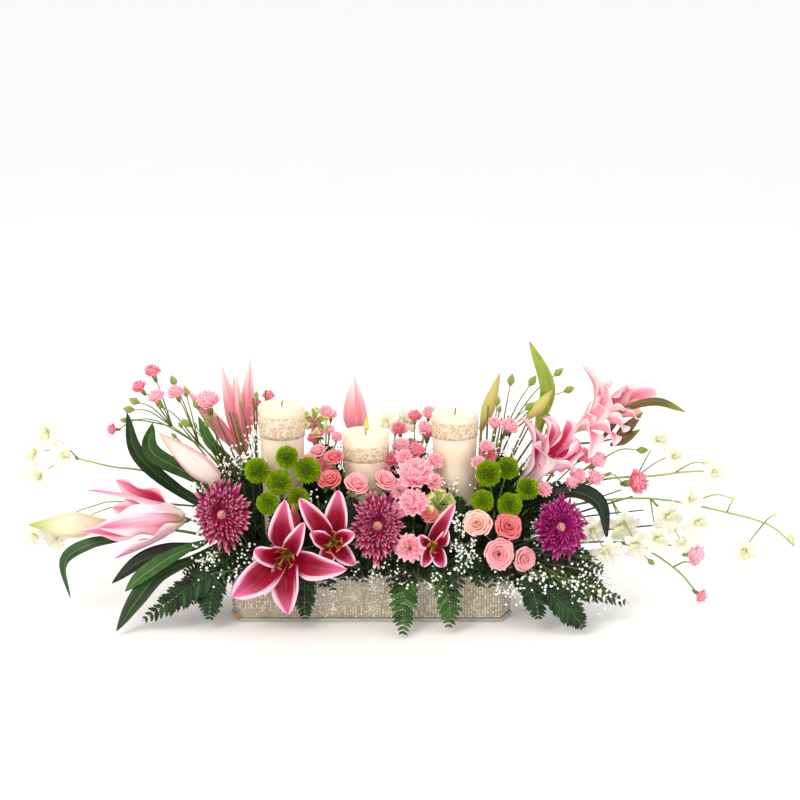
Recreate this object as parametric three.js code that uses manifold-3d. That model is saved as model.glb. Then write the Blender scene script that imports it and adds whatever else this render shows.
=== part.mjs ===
// Floral table centerpiece: a beaded tray with floral foam, three pillar candles, lilies, chrysanthemums,
// spray roses, carnations, dendrobium orchids, baby's breath and fern. Millimetres, +Z up, standing on z = 0,
// +X to the right along the tray, -Y towards the side that is mostly looked at.
import * as THREE from "three";
import { mergeVertices } from "three/addons/utils/BufferGeometryUtils.js";
import Module from "manifold-3d";

const wasm = await Module();
wasm.setup();

// ---------------------------------------------------------------- driving dimensions
const TRAY_LENGTH = 424; // over the bead wrap
const TRAY_DEPTH = 170;
const TRAY_HEIGHT = 70;
const CORNER_CUT_X = 17; // each corner is cut off along a slanting facet
const CORNER_CUT_Y = 40;
const WRAP_THICK = 3.6;
const FOOT_STRIP_HEIGHT = 5;
const FOOT_STRIP_STANDS_OUT = 0.8;
const TRAY_WALL = 4;
const TRAY_FLOOR = 4;
const LINER_WALL = 1.6;
const GAP = 0.35; // between pieces that touch

const FOAM_LENGTH = 368;
const FOAM_DEPTH = 132;
const FOAM_TOP = 98;
const CANDLE_SOCKET = 8; // how deep a candle is pressed into the foam
const STEM_DEPTH = 26; // how deep a stem stands in the foam

const CANDLE_TOP_RADIUS = 35;
const CANDLE_BASE_RADIUS = 27;
const CANDLE_SIDES = 10;
const CANDLES = {
  left: { x: -134, top: 314, band: [266, 299] },
  middle: { x: -8, top: 272, band: [231, 254] },
  right: { x: 126, top: 302, band: [266, 290] },
};
const LACE_THICK = 1.6;
const WICK_RADIUS = 1.1;
const WICK_STANDS_OUT = 6;
const WICK_DEPTH = 12;

const LILY_STEM = 2.8;
const FLOWER_STEM = 1.9;
const SPRAY_STEM = 1.3;
const THREAD_STEM = 0.8;
const RECEPTACLE = 6; // how far the green seat of an open lily reaches behind its throat
const KNOT = 3.2; // radius of the knot where the twigs of a bunch part
const PETAL_OVERLAP = 1.25; // how far a lily's petals widen into their neighbours' room
const THROAT = 16; // how far a lily's petals stand off its axis where they bend

const COLOURS = {
  tray: 0xb98d5c,
  beads: 0xcbbb9c,
  metal: 0xd8d6d0,
  liner: 0x2e3b33,
  foam: 0x4e7a4a,
  wax: 0xf6ead2,
  wick: 0x2b2622,
  lace: 0xe6cda4,
  stargazer: 0xa5123f,
  pinkLily: 0xec9fb0,
  creamLily: 0xf0dfc8,
  leaf: 0x3b6b2a,
  paleLeaf: 0x9aa83a,
  fern: 0x1f4a20,
  mum: 0x9c1d62,
  pom: 0x8aa312,
  rose: 0xf08f92,
  carnation: 0xf2aeb4,
  orchid: 0xf6f2e4,
  breath: 0xf7f6ef,
};

// ---------------------------------------------------------------- small helpers
const v = (x, y, z) => new THREE.Vector3(x, y, z);
const at = ([x, y, z]) => v(x, y, z);
const mix = (a, b, t) => a + (b - a) * t;

/** Numbers in 0..1 that come out the same each time for one seed. */
function seeded(seed) {
  let state = seed >>> 0;
  return () => {
    state = (state + 0x6d2b79f5) >>> 0;
    let t = Math.imul(state ^ (state >>> 15), 1 | state);
    t = (t + Math.imul(t ^ (t >>> 7), 61 | t)) ^ t;
    return ((t ^ (t >>> 14)) >>> 0) / 4294967296;
  };
}

/** A closed geometry as a solid that can be joined and cut. */
function solidOf(geometry) {
  const bare = geometry.clone();
  bare.deleteAttribute("normal");
  bare.deleteAttribute("uv");
  const merged = mergeVertices(bare, 1e-4);
  return new wasm.Manifold(
    new wasm.Mesh({
      numProp: 3,
      vertProperties: merged.attributes.position.array,
      triVerts: new Uint32Array(merged.index.array),
    }),
  );
}

function geometryOf(solid) {
  const mesh = solid.getMesh();
  const positions = new Float32Array(mesh.numVert * 3);
  for (let i = 0; i < mesh.numVert; i++) {
    const from = i * mesh.numProp;
    positions.set(mesh.vertProperties.subarray(from, from + 3), i * 3);
  }
  return new THREE.BufferGeometry()
    .setAttribute("position", new THREE.BufferAttribute(positions, 3))
    .setIndex(new THREE.BufferAttribute(new Uint32Array(mesh.triVerts), 1));
}

const SCRAP = 12; // mm3: a loose scrap under this is dropped, a bigger loose piece is a mistake
const FINEST_EDGE = 0.02;

/** Joins closed geometries into one body. */
function fuse(name, geometries) {
  const joined = wasm.Manifold.union(geometries.map(solidOf)).simplify(FINEST_EDGE);
  const bodies = joined.decompose().sort((a, b) => b.volume() - a.volume());
  if (bodies.length > 1 && bodies[1].volume() > SCRAP)
    throw new Error(`${name} falls into ${bodies.length} bodies, ${bodies[1].boundingBox().min}`);
  return geometryOf(bodies[0]);
}

/** Turns a geometry made round +Z so that +Z points along axis, spins it, and moves it. */
function placed(geometry, position, axis, spin = 0) {
  const turn = new THREE.Quaternion().setFromUnitVectors(v(0, 0, 1), axis.clone().normalize());
  const own = new THREE.Quaternion().setFromAxisAngle(v(0, 0, 1), spin);
  return geometry.applyQuaternion(own).applyQuaternion(turn).translate(...position.toArray());
}

/** A LatheGeometry round Z. Profile pairs are [radius, z], from the bottom to the top. */
function lathe(profile, sides) {
  const points = profile.map(([r, z]) => new THREE.Vector2(r, z));
  return new THREE.LatheGeometry(points, sides).rotateX(Math.PI / 2);
}

// ---------------------------------------------------------------- stems
const foamHoles = []; // every stem that stands in the foam leaves its cutter here

function tube(points, radius, steps, sides = 4) {
  const corners = Array.from({ length: sides }, (_, i) => {
    const angle = (2 * Math.PI * i) / sides;
    return new THREE.Vector2(radius * Math.cos(angle), radius * Math.sin(angle));
  });
  const extrudePath = new THREE.CatmullRomCurve3(points);
  const shape = new THREE.Shape(corners);
  const geometry = new THREE.ExtrudeGeometry(shape, { extrudePath, steps, bevelEnabled: false });
  geometry.userData.joints = extrudePath.getSpacedPoints(steps).map((point) => point.toArray());
  return geometry;
}

/** A stem from its hole in the foam through the given points. The first point lies on the foam's surface. */
function rooted(route, radius, steps, sides = radius < LILY_STEM ? 3 : 4) {
  const points = route.map(at);
  const back = points[0].clone().sub(points[1]).normalize();
  const inner = points[0].clone().addScaledVector(back, STEM_DEPTH);
  const deeper = inner.clone().addScaledVector(back, 1.5);
  const wider = radius + GAP / Math.cos(Math.PI / sides);
  foamHoles.push(tube([deeper, ...points], wider, steps, sides));
  return tube([inner, ...points], radius, steps, sides);
}

function twig(route, radius, steps = 1, sides = 3) {
  return tube(route.map(at), radius, steps, sides);
}

/**
 * A main stem with side twigs. Each branch leaves the main stem at one of its joints, numbered from the
 * foam, passes through the points of its route and carries its head.
 */
function spray(route, radius, steps, branches) {
  const main = rooted(route, radius, steps);
  const pieces = [main];
  for (const { from, to, head = [] } of branches) {
    const points = [main.userData.joints[from], ...to];
    pieces.push(twig(points, Math.min(radius, SPRAY_STEM), to.length), ...head);
  }
  return pieces;
}

// ---------------------------------------------------------------- blades, petals and buds
/** The corners of a blade's cross-section at t: right edge, ridge, left edge, keel, or no ridge. */
function section({ rib, side, width, cup = () => 0, wave = 0, thick = 1.6, segments, ridge = true }, k) {
  const t = k / segments;
  const centre = rib.getPoint(t);
  const up = rib.getTangent(t).cross(side).normalize();
  const half = side.clone().multiplyScalar(width(t) / 2);
  const lift = cup(t);
  const ripple = (k % 2 ? wave : -wave) * width(t);
  const corners = [centre.clone().add(half).addScaledVector(up, lift + ripple)];
  if (ridge) corners.push(centre.clone().addScaledVector(up, thick / 2));
  corners.push(centre.clone().sub(half).addScaledVector(up, lift - ripple));
  corners.push(centre.clone().addScaledVector(up, -thick / 2));
  return corners;
}

/** Joins rings of corners by triangles that are split alike on both faces, and closes the last on its tip. */
function skin(index, rings, tip) {
  const corners = rings[0].length;
  rings.forEach((ring, k) => {
    for (let j = 0; j < corners; j++) {
      const next = (j + 1) % corners;
      if (k === rings.length - 1) {
        index.push(ring[j], ring[next], tip);
        continue;
      }
      const [a, b, c, d] = [ring[j], ring[next], rings[k + 1][next], rings[k + 1][j]];
      if (j % 2) index.push(a, b, c, a, c, d);
      else index.push(a, b, d, b, c, d);
    }
  });
}

function meshOf(points, index) {
  return new THREE.BufferGeometry().setFromPoints(points).setIndex(index);
}

/** A thin blade along a rib, pointed at both ends. side is a unit vector across it; rib x side looks up. */
function blade(form) {
  const points = [form.rib.getPoint(0)];
  const index = [];
  const put = (point) => points.push(point) - 1;
  const rings = [];
  for (let k = 1; k < form.segments; k++) rings.push(section(form, k).map(put));
  rings[0].forEach((corner, j) => index.push(0, rings[0][(j + 1) % rings[0].length], corner));
  skin(index, rings, put(form.rib.getPoint(1)));
  return meshOf(points, index);
}

/**
 * A bloom in one surface: petals in order round the axis, each a blade that grows out of a small hub and
 * shares the hub's corners with its neighbours.
 */
function star(petals, { centre, axis, hub, above, below }) {
  const points = [];
  const index = [];
  const put = (point) => points.push(point) - 1;
  const across = Math.abs(axis.z) > 0.9 ? v(1, 0, 0) : v(0, 0, 1).cross(axis).normalize();
  const upward = axis.clone().cross(across).normalize();
  const angleOf = ({ out }) => Math.atan2(out.dot(upward), out.dot(across));
  const sorted = petals.map((form) => ({ ...form, angle: angleOf(form) })).sort((p, q) => p.angle - q.angle);
  const around = (angle, reach, lift = 0) =>
    centre
      .clone()
      .addScaledVector(across, reach * Math.cos(angle))
      .addScaledVector(upward, reach * Math.sin(angle))
      .addScaledVector(axis, lift);
  const top = put(centre.clone().addScaledVector(axis, above));
  const bottom = put(centre.clone().addScaledVector(axis, -below));
  const shared = sorted.map(({ angle }, i) => {
    const next = sorted[(i + 1) % sorted.length].angle + (i + 1 < sorted.length ? 0 : 2 * Math.PI);
    return put(around((angle + next) / 2, hub));
  });
  sorted.forEach((form, i) => {
    const before = shared[(i + sorted.length - 1) % sorted.length];
    const after = shared[i];
    const keel = put(around(form.angle, hub, -0.5 * form.thick));
    const first = [after, before, keel];
    if (form.ridge) {
      const ridge = put(around(form.angle, hub, 0.5 * form.thick));
      first.splice(1, 0, ridge);
      index.push(top, before, ridge, top, ridge, after);
    } else index.push(top, before, after);
    index.push(bottom, after, keel, bottom, keel, before);
    const rings = [first];
    for (let k = 1; k < form.segments; k++) rings.push(section(form, k).map(put));
    skin(index, rings, put(form.rib.getPoint(1)));
  });
  return meshOf(points, index);
}

/** A long leaf through the given points, its face turned towards facing. */
function leaf(route, width, facing = [0, 0, 1], { wave = 0.04, segments = 6, thick = 1.6 } = {}) {
  const rib = new THREE.CatmullRomCurve3(route.map(at));
  const along = rib.getPoint(1).sub(rib.getPoint(0)).normalize();
  const side = at(facing).cross(along).normalize();
  const shape = (t) => width * Math.sin(Math.PI * Math.min(0.97, t) ** 0.8) ** 0.7;
  return blade({ rib, side, width: shape, cup: (t) => 0.16 * shape(t), wave, thick, segments, ridge: true });
}

/** A closed bud from its foot to its pointed tip. */
function bud(foot, tip, radius, sides = 5) {
  const from = at(foot);
  const axis = at(tip).sub(from);
  const length = axis.length();
  const profile = [
    [0, -0.04],
    [0.9, 0.3],
    [0.86, 0.66],
    [0, 1],
  ].map(([r, z]) => [r * radius, z * length]);
  return placed(lathe(profile, sides), from, axis);
}

/**
 * One petal of an open lily: it leaves the throat in the direction start and curves out to its tip. Its
 * width stays inside its share of the room round the axis, so neighbours don't cross.
 */
function lilyPetal(base, axis, tip, width, start, share) {
  const reach = tip.clone().sub(base);
  const forward = reach.dot(axis);
  const out = reach.clone().addScaledVector(axis, -forward);
  const spread = out.length();
  out.normalize();
  const bend = base
    .clone()
    .addScaledVector(axis, Math.max(forward, 0.45 * spread) + 0.12 * spread)
    .addScaledVector(start, Math.max(THROAT, 0.28 * spread));
  const rib = new THREE.QuadraticBezierCurve3(base, bend, tip);
  const room = (t) => {
    const arm = rib.getPoint(t).sub(base);
    return 1.84 * arm.addScaledVector(axis, -arm.dot(axis)).length() * Math.tan(PETAL_OVERLAP * share / 2);
  };
  const shape = (t) => Math.min(width * Math.sin(Math.PI * t ** 1.2) ** 0.9, room(t));
  return {
    rib,
    side: axis.clone().cross(out.clone().add(start)).normalize(),
    out: start,
    width: shape,
    cup: (t) => 0.12 * shape(t),
    wave: 0.05,
    thick: 1.8,
    segments: width > 28 ? 5 : 4,
    ridge: true,
  };
}

/** One stamen: a thread that widens to its anther. */
function stamen(root, axis, lean, reach) {
  const middle = root.clone().addScaledVector(axis, 0.6 * reach).addScaledVector(lean, 0.05 * reach);
  const end = root.clone().addScaledVector(axis, reach).addScaledVector(lean, 0.34 * reach);
  return {
    rib: new THREE.QuadraticBezierCurve3(root, middle, end),
    side: axis.clone().cross(lean),
    out: lean,
    width: (t) => (t < 0.5 ? 1.8 : 6),
    thick: 2,
    segments: 3,
    ridge: false,
  };
}

/** An open lily whose petals reach the given tips: [x, y, z, width]. Its stamens stand up from the throat. */
function lily({ base, axis, tips, reach = 46, stamens = 4 }) {
  const root = at(base);
  const out = at(axis).normalize();
  const across = v(0, 0, 1).cross(out).normalize();
  const upward = out.clone().cross(across);
  const towards = (angle) =>
    across.clone().multiplyScalar(Math.cos(angle)).addScaledVector(upward, Math.sin(angle));
  const share = (2 * Math.PI) / tips.length;
  const angles = tips.map((tip) => {
    const arm = at(tip).sub(root);
    return Math.atan2(arm.dot(upward), arm.dot(across));
  });
  const order = tips.map((_, i) => i).sort((i, j) => angles[i] - angles[j]);
  const offset = order.reduce((sum, i, rank) => sum + angles[i] - rank * share, 0) / tips.length;
  const petals = order.map((i, rank) => {
    const [x, y, z, width] = tips[i];
    return lilyPetal(root, out, v(x, y, z), width, towards(offset + rank * share), share);
  });
  const threads = Array.from({ length: stamens }, (_, i) =>
    stamen(root, out, towards((2 * Math.PI * (i + 0.5)) / stamens), reach),
  );
  const whorl = (odd) => {
    const centre = root.clone().addScaledVector(out, 2.1 * odd);
    const own = petals.filter((_, rank) => rank % 2 === odd);
    return star(own, { centre, axis: out, hub: 4.5, above: 2, below: RECEPTACLE - odd });
  };
  const throat = root.clone().addScaledVector(out, 2);
  const tuft = stamens ? [star(threads, { centre: throat, axis: out, hub: 2, above: 1, below: 3 })] : [];
  return [whorl(0), whorl(1), ...tuft];
}

/** The last two points of a stem that carries an open lily: it ends just behind the receptacle. */
function seat({ base, axis }) {
  const behind = (distance) => at(base).addScaledVector(at(axis).normalize(), -distance).toArray();
  return [behind(RECEPTACLE + 9), behind(RECEPTACLE + GAP)];
}

// ---------------------------------------------------------------- heads
/**
 * A head of petals in layers: rims and valleys of a turned profile, the rims waved by lobes round the axis.
 * The profile is in shares of the radius.
 */
function layeredHead({ centre, axis, radius, sides, wave, profile, spin = 0 }) {
  const geometry = lathe(
    profile.map(([r, z]) => [r * radius, z * radius]),
    sides,
  );
  const position = geometry.attributes.position;
  for (let i = 0; i < position.count; i++) {
    const layer = i % profile.length;
    const turn = Math.floor(i / profile.length) % sides;
    if (!profile[layer][2]) continue;
    const sign = (turn + layer / 2) % 2 < 1 ? 1 : -1;
    const grow = 1 + 0.5 * wave * sign;
    const raise = wave * sign * radius;
    position.setXYZ(i, position.getX(i) * grow, position.getY(i) * grow, position.getZ(i) + raise);
  }
  return placed(geometry, at(centre), at(axis), spin);
}

// [radius, height, is a rim]
const ROSE_PROFILE = [
  [0, -0.6],
  [0.42, -0.5],
  [1.1, 0.2, true],
  [0.78, 0.1],
  [0.7, 0.52, true],
  [0, 0.36],
];
const CARNATION_PROFILE = [
  [0, -0.75],
  [0.3, -0.6],
  [1.1, 0.05, true],
  [0.68, 0.12],
  [0.74, 0.5, true],
  [0, 0.34],
];

/** A small head has fewer lobes. */
const lobes = (radius) => (radius < 16 ? 6 : 7);

function rose(centre, radius, axis, spin = 0) {
  return layeredHead({ centre, axis, radius, sides: lobes(radius), wave: 0.09, profile: ROSE_PROFILE, spin });
}

function carnation(centre, radius, axis, spin = 0) {
  const [sides, profile] = [lobes(radius), CARNATION_PROFILE];
  return layeredHead({ centre, axis, radius, sides, wave: 0.14, profile, spin });
}

/** A button chrysanthemum: every face of a coarse ball raised into a short petal. */
function pom(centre, radius) {
  const ball = new THREE.IcosahedronGeometry(radius * 0.95, 0);
  const position = ball.attributes.position;
  const spikes = [];
  const corner = (i) => new THREE.Vector3().fromBufferAttribute(position, i);
  for (let i = 0; i < position.count; i += 3) {
    const [a, b, c] = [corner(i), corner(i + 1), corner(i + 2)];
    const tip = a.clone().add(b).add(c).setLength(radius * 1.1);
    for (const [p, q] of [
      [a, b],
      [b, c],
      [c, a],
    ])
      spikes.push(...p.toArray(), ...q.toArray(), ...tip.toArray());
  }
  return new THREE.BufferGeometry()
    .setAttribute("position", new THREE.Float32BufferAttribute(spikes, 3))
    .translate(...centre);
}

/** A spider chrysanthemum: three stacked rings of narrow incurved petals. */
function mum({ centre, axis, wide, tall, seed }) {
  const draw = seeded(seed);
  const up = v(0, 0, 1);
  const rings = [
    { count: 10, reach: 1, lift: 2, tip: 10, width: 9, segments: 3, floor: 0 },
    { count: 7, reach: 0.78, lift: 14, tip: 26, width: 8, segments: 2, floor: 5 },
    { count: 5, reach: 0.42, lift: 22, tip: 34, width: 7, segments: 2, floor: 10 },
  ];
  return rings.map(({ count, reach, lift, tip, width, segments, floor }, ring) => {
    const petals = Array.from({ length: count }, (_, i) => {
      const angle = (2 * Math.PI * (i + 0.5 * (ring % 2))) / count;
      const out = v(Math.cos(angle), Math.sin(angle), 0);
      const size = (reach * mix(0.94, 1.04, draw()) * wide * tall) / Math.hypot(tall * out.x, wide * out.y);
      const rib = new THREE.QuadraticBezierCurve3(
        out.clone().multiplyScalar(8).setZ(floor),
        out.clone().multiplyScalar(0.6 * size).setZ(lift),
        out.clone().multiplyScalar(size).setZ(tip + 3 * draw()),
      );
      const side = up.clone().cross(out);
      const shape = (t) => width * (1 + t);
      return { rib, side, out, width: shape, cup: () => 1.2, thick: 2.6, segments, ridge: false };
    });
    const layer = star(petals, { centre: v(0, 0, floor), axis: up, hub: 9, above: 5, below: 6 });
    return placed(layer, at(centre), at(axis));
  });
}

/** A dendrobium bloom: three narrow sepals and two broad petals. */
function orchid(centre, radius, axis, spin = 0) {
  const petals = [
    { angle: 90, reach: 1, width: 0.56 },
    { angle: 24, reach: 1, width: 0.86 },
    { angle: 156, reach: 1, width: 0.86 },
    { angle: 225, reach: 0.92, width: 0.56 },
    { angle: 315, reach: 0.92, width: 0.56 },
  ].map(({ angle, reach, width }) => {
    const turn = THREE.MathUtils.degToRad(angle);
    const out = v(Math.cos(turn), Math.sin(turn), 0);
    const rib = new THREE.QuadraticBezierCurve3(
      v(0, 0, 0),
      out.clone().multiplyScalar(0.6 * radius * reach).setZ(0.3 * radius),
      out.clone().multiplyScalar(radius * reach).setZ(0.05 * radius),
    );
    const side = v(0, 0, 1).cross(out);
    const shape = () => width * radius;
    return { rib, side, out, width: shape, cup: () => 0.6, thick: 1.8, segments: 2, ridge: false };
  });
  const hub = 0.18 * radius;
  const bloom = star(petals, { centre: v(0, 0, 0), axis: v(0, 0, 1), hub, above: hub, below: hub });
  return [placed(bloom, at(centre), at(axis), spin)];
}

/** A floret on its own thread, from the foot of the thread. */
function floret(foot, centre, radius) {
  const arm = at(centre).sub(at(foot));
  const length = arm.length();
  const profile = [
    [0, 0],
    [THREAD_STEM, 0],
    [THREAD_STEM, length - radius],
    [radius, length],
    [0, length + radius],
  ];
  return placed(lathe(profile, 4), at(foot), arm);
}

/** Baby's breath: a thin stem with a pair of florets on threads at each of its outer joints. */
function breath(route, steps, spread, seed, radius = 3.4) {
  const draw = seeded(seed);
  const main = rooted(route, SPRAY_STEM, steps);
  const pieces = [main];
  main.userData.joints.slice(-3).forEach((joint, i) => {
    const signs = i < 2 ? [-1, 1] : [1];
    for (const sign of signs) {
      const head = joint.map((value, k) => value + sign * spread[k] * mix(0.6, 1, draw()));
      head[2] += 0.5 * spread[2] * (i % 2 ? 1 : -1);
      pieces.push(floret(joint, head, radius));
    }
  });
  return pieces;
}

// ---------------------------------------------------------------- fern
/**
 * A fern frond along a route: one thin arched sheet whose outline is cut into leaflets down to the rib.
 * Leaflets start where the stalk stops being bare, lean towards the tip and droop away from the rib.
 */
function frond(route, reach, { pairs = 6, facing = [0, 0, 1], bare = 0.06, droop = 0.25, thick = 1 } = {}) {
  const path = new THREE.CatmullRomCurve3(route.map(at));
  const along = path.getPoint(1).sub(path.getPoint(0)).normalize();
  const side = at(facing).cross(along).normalize();
  const length = path.getLength();
  const rib = 1.3;
  const flat = []; // [t along the path, distance across]
  const faces = [];
  const put = (t, across) => flat.push([t, across]) - 1;
  let left = put(0, -rib);
  let right = put(0, rib);
  for (let k = 0; k < pairs; k++) {
    const start = mix(bare, 0.96, k / pairs);
    const end = mix(bare, 0.96, (k + 1) / pairs);
    const size = reach * Math.sin(Math.PI * mix(0.3, 1, (k + 1) / (pairs + 1))) ** 0.8;
    const sweep = (0.45 * size) / length;
    if (k === 0) {
      const [l, r] = [put(start, -rib), put(start, rib)];
      faces.push([left, l, r], [left, r, right]);
      [left, right] = [l, r];
    }
    const [l, r] = [put(end, -rib), put(end, rib)];
    faces.push([left, l, r], [left, r, right]);
    for (const [root, next, sign] of [
      [left, l, -1],
      [right, r, 1],
    ]) {
      const shoulder = put(start + 0.62 * sweep + 0.014, sign * 0.6 * size);
      const tip = put(Math.min(0.99, end + sweep), sign * size);
      if (sign < 0) faces.push([root, shoulder, next], [shoulder, tip, next]);
      else faces.push([root, next, shoulder], [shoulder, next, tip]);
    }
    [left, right] = [l, r];
  }
  const tip = put(1, 0);
  faces.push([left, tip, right]);
  return thinSheet(flat, faces, (t, across, up) => {
    const centre = path.getPoint(t);
    const normal = path.getTangent(t).cross(side).normalize();
    return centre.addScaledVector(side, across).addScaledVector(normal, up - droop * Math.abs(across));
  }, thick);
}

/** A flat triangulated outline given a thickness and put in space by place(x, y, height). */
function thinSheet(flat, faces, place, thick) {
  const positions = [];
  for (const height of [thick / 2, -thick / 2])
    for (const [x, y] of flat) positions.push(...place(x, y, height).toArray());
  const index = [];
  const edges = new Set(faces.flatMap(([a, b, c]) => [`${a},${b}`, `${b},${c}`, `${c},${a}`]));
  const under = flat.length;
  for (const [a, b, c] of faces) {
    index.push(a, b, c, under + a, under + c, under + b);
    for (const [p, q] of [
      [a, b],
      [b, c],
      [c, a],
    ])
      if (!edges.has(`${q},${p}`)) index.push(under + p, under + q, q, under + p, q, p);
  }
  return new THREE.BufferGeometry()
    .setAttribute("position", new THREE.Float32BufferAttribute(positions, 3))
    .setIndex(index);
}

// ---------------------------------------------------------------- container and candles
/** The tray's plan, with its corners cut off, drawn inwards by inset. */
function plan(inset) {
  const x = TRAY_LENGTH / 2 - inset;
  const y = TRAY_DEPTH / 2 - inset;
  const corners = [];
  for (const [sx, sy] of [
    [1, 1],
    [-1, 1],
    [-1, -1],
    [1, -1],
  ]) {
    const side = new THREE.Vector2(sx * x, sy * (y - CORNER_CUT_Y));
    const end = new THREE.Vector2(sx * (x - CORNER_CUT_X), sy * y);
    corners.push(...(sx * sy > 0 ? [side, end] : [end, side]));
  }
  return corners;
}

/** A wall that follows the plan between two insets, from one height to another. */
function ringWall(outer, inner, low, high) {
  const shape = new THREE.Shape(plan(outer));
  shape.holes.push(new THREE.Path(plan(inner)));
  return new THREE.ExtrudeGeometry(shape, { depth: high - low, bevelEnabled: false }).translate(0, 0, low);
}

/** An open box that follows the plan. */
function openBox(outer, wall, low, floor, high) {
  const block = (inset, from, to) => {
    const shape = new THREE.Shape(plan(inset));
    return new THREE.ExtrudeGeometry(shape, { depth: to - from, bevelEnabled: false }).translate(0, 0, from);
  };
  const body = solidOf(block(outer, low, high));
  return geometryOf(body.subtract(solidOf(block(outer + wall, low + floor, high + 1))));
}

const candleRadius = (z, top) => {
  const foot = FOAM_TOP - CANDLE_SOCKET + GAP;
  return mix(CANDLE_BASE_RADIUS, CANDLE_TOP_RADIUS, (z - foot) / (top - foot));
};

/** A pillar candle, wider at the top, with a shallow melt pool and a bore for its wick. */
function candle({ x, top }) {
  const foot = FOAM_TOP - CANDLE_SOCKET + GAP;
  const bore = WICK_RADIUS + GAP;
  const profile = [
    [0, foot],
    [CANDLE_BASE_RADIUS, foot],
    [CANDLE_TOP_RADIUS, top],
    [CANDLE_TOP_RADIUS - 3, top],
    [CANDLE_TOP_RADIUS - 12, top - 4],
    [bore, top - 4],
    [bore, top - 4 - WICK_DEPTH],
    [0, top - 4 - WICK_DEPTH],
  ];
  return lathe(profile, CANDLE_SIDES).translate(x, 0, 0);
}

function wick({ x, top }) {
  const foot = top - 4 - WICK_DEPTH + GAP;
  return tube([v(x, 0, foot), v(x, 0, top), v(x + 1, 0, top + WICK_STANDS_OUT)], WICK_RADIUS * 0.9, 2, 4);
}

/** The lace and bead band is wrapped round the candle and follows its taper. */
function laceBand({ x, top, band: [low, high] }) {
  const inner = (z) => candleRadius(z, top) + GAP;
  const profile = [
    [inner(low), low],
    [inner(low) + LACE_THICK, low],
    [inner(high) + LACE_THICK, high],
    [inner(high), high],
    [inner(low), low],
  ];
  return lathe(profile, CANDLE_SIDES).translate(x, 0, 0);
}

/** The foam block, with a socket for each candle and a plain hole for each stem. */
function foam(bottom) {
  const block = new THREE.BoxGeometry(FOAM_LENGTH, FOAM_DEPTH, FOAM_TOP - bottom);
  let body = solidOf(block.translate(0, 0, (FOAM_TOP + bottom) / 2));
  for (const { x } of Object.values(CANDLES)) {
    const radius = (CANDLE_BASE_RADIUS + 2 * GAP) / Math.cos(Math.PI / CANDLE_SIDES);
    const socket = new THREE.CylinderGeometry(radius, radius, 2 * CANDLE_SOCKET, CANDLE_SIDES);
    body = body.subtract(solidOf(socket.rotateX(Math.PI / 2).translate(x, 0, FOAM_TOP)));
  }
  const holes = wasm.Manifold.union(foamHoles.map(solidOf));
  return geometryOf(body.subtract(holes).simplify(FINEST_EDGE));
}

// ---------------------------------------------------------------- lilies
const LILIES = {
  front_left: {
    base: [-123, -80, 108],
    axis: [-0.1, -0.95, 0.1],
    colour: "stargazer",
    tips: [
      [-201, -152, 61, 42],
      [-122, -150, 34, 34],
      [-36, -148, 101, 36],
      [-125, -116, 196, 34],
      [-97, -148, 172, 22],
      [-168, -150, 132, 26],
    ],
  },
  front_middle: {
    base: [-55, -72, 119],
    axis: [-0.05, -0.9, 0.35],
    colour: "stargazer",
    tips: [
      [-104, -106, 198, 26],
      [-48, -92, 206, 28],
      [-84, -140, 158, 20],
      [-24, -124, 150, 22],
      [-24, -112, 98, 22],
      [-72, -106, 84, 22],
    ],
  },
  front_right: {
    base: [91, -74, 118],
    axis: [0.05, -0.95, 0.15],
    colour: "stargazer",
    reach: 24,
    stamens: 3,
    tips: [
      [78, -120, 97, 16],
      [106, -122, 97, 18],
      [112, -106, 150, 16],
      [74, -110, 142, 14],
      [124, -98, 186, 18],
    ],
  },
  left: {
    base: [-282, -30, 142],
    axis: [-0.95, -0.25, 0.15],
    colour: "pinkLily",
    stamens: 3,
    tips: [
      [-386, -14, 199, 36],
      [-424, -60, 200, 26],
      [-398, -112, 155, 30],
      [-436, -66, 136, 28],
      [-383, -84, 98, 34],
      [-396, 10, 150, 26],
    ],
  },
  right: {
    base: [219, -10, 189],
    axis: [0.72, -0.2, 0.66],
    colour: "pinkLily",
    stamens: 3,
    tips: [
      [229, -4, 302, 28],
      [268, 30, 292, 26],
      [296, -14, 296, 28],
      [322, 6, 250, 26],
      [304, -56, 228, 30],
      [246, -60, 268, 26],
    ],
  },
  upper_right: {
    base: [313, 50, 262],
    axis: [0.8, -0.2, 0.55],
    colour: "pinkLily",
    stamens: 0,
    tips: [
      [328, 72, 362, 24],
      [354, 24, 345, 26],
      [440, 46, 322, 26],
      [404, 12, 293, 26],
      [369, -10, 254, 24],
      [330, -26, 236, 24],
    ],
  },
  back: {
    base: [60, 84, 140],
    axis: [0.1, 0.9, 0.4],
    colour: "pinkLily",
    stamens: 3,
    tips: [
      [60, 130, 232, 30],
      [-18, 140, 196, 30],
      [-20, 150, 110, 30],
      [60, 160, 66, 30],
      [138, 142, 104, 30],
      [136, 132, 190, 30],
    ],
  },
};

// ---------------------------------------------------------------- the arrangement
const group = new THREE.Group();

function add(name, colour, geometry, roughness = 0.6, metalness = 0) {
  const material = new THREE.MeshStandardMaterial({ color: COLOURS[colour], roughness, metalness });
  const mesh = new THREE.Mesh(geometry, material);
  mesh.name = name;
  group.add(mesh);
}

function grow(name, colour, pieces) {
  add(name, colour, fuse(name, pieces), 0.6);
}

// Two blooms sit on short stems of their own, which grow into them.
const smallStem = rooted([[88, -58, 98], [89, -64, 110], LILIES.front_right.base], LILY_STEM, 3);
const backStem = rooted([[56, 56, 98], [57, 66, 116], LILIES.back.base], LILY_STEM, 3);
const OWN_STEMS = { front_right: smallStem, back: backStem };
for (const [name, flower] of Object.entries(LILIES)) {
  const own = OWN_STEMS[name] ? [OWN_STEMS[name]] : [];
  grow(`lily_${name}`, flower.colour, [...lily(flower), ...own]);
}

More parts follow.
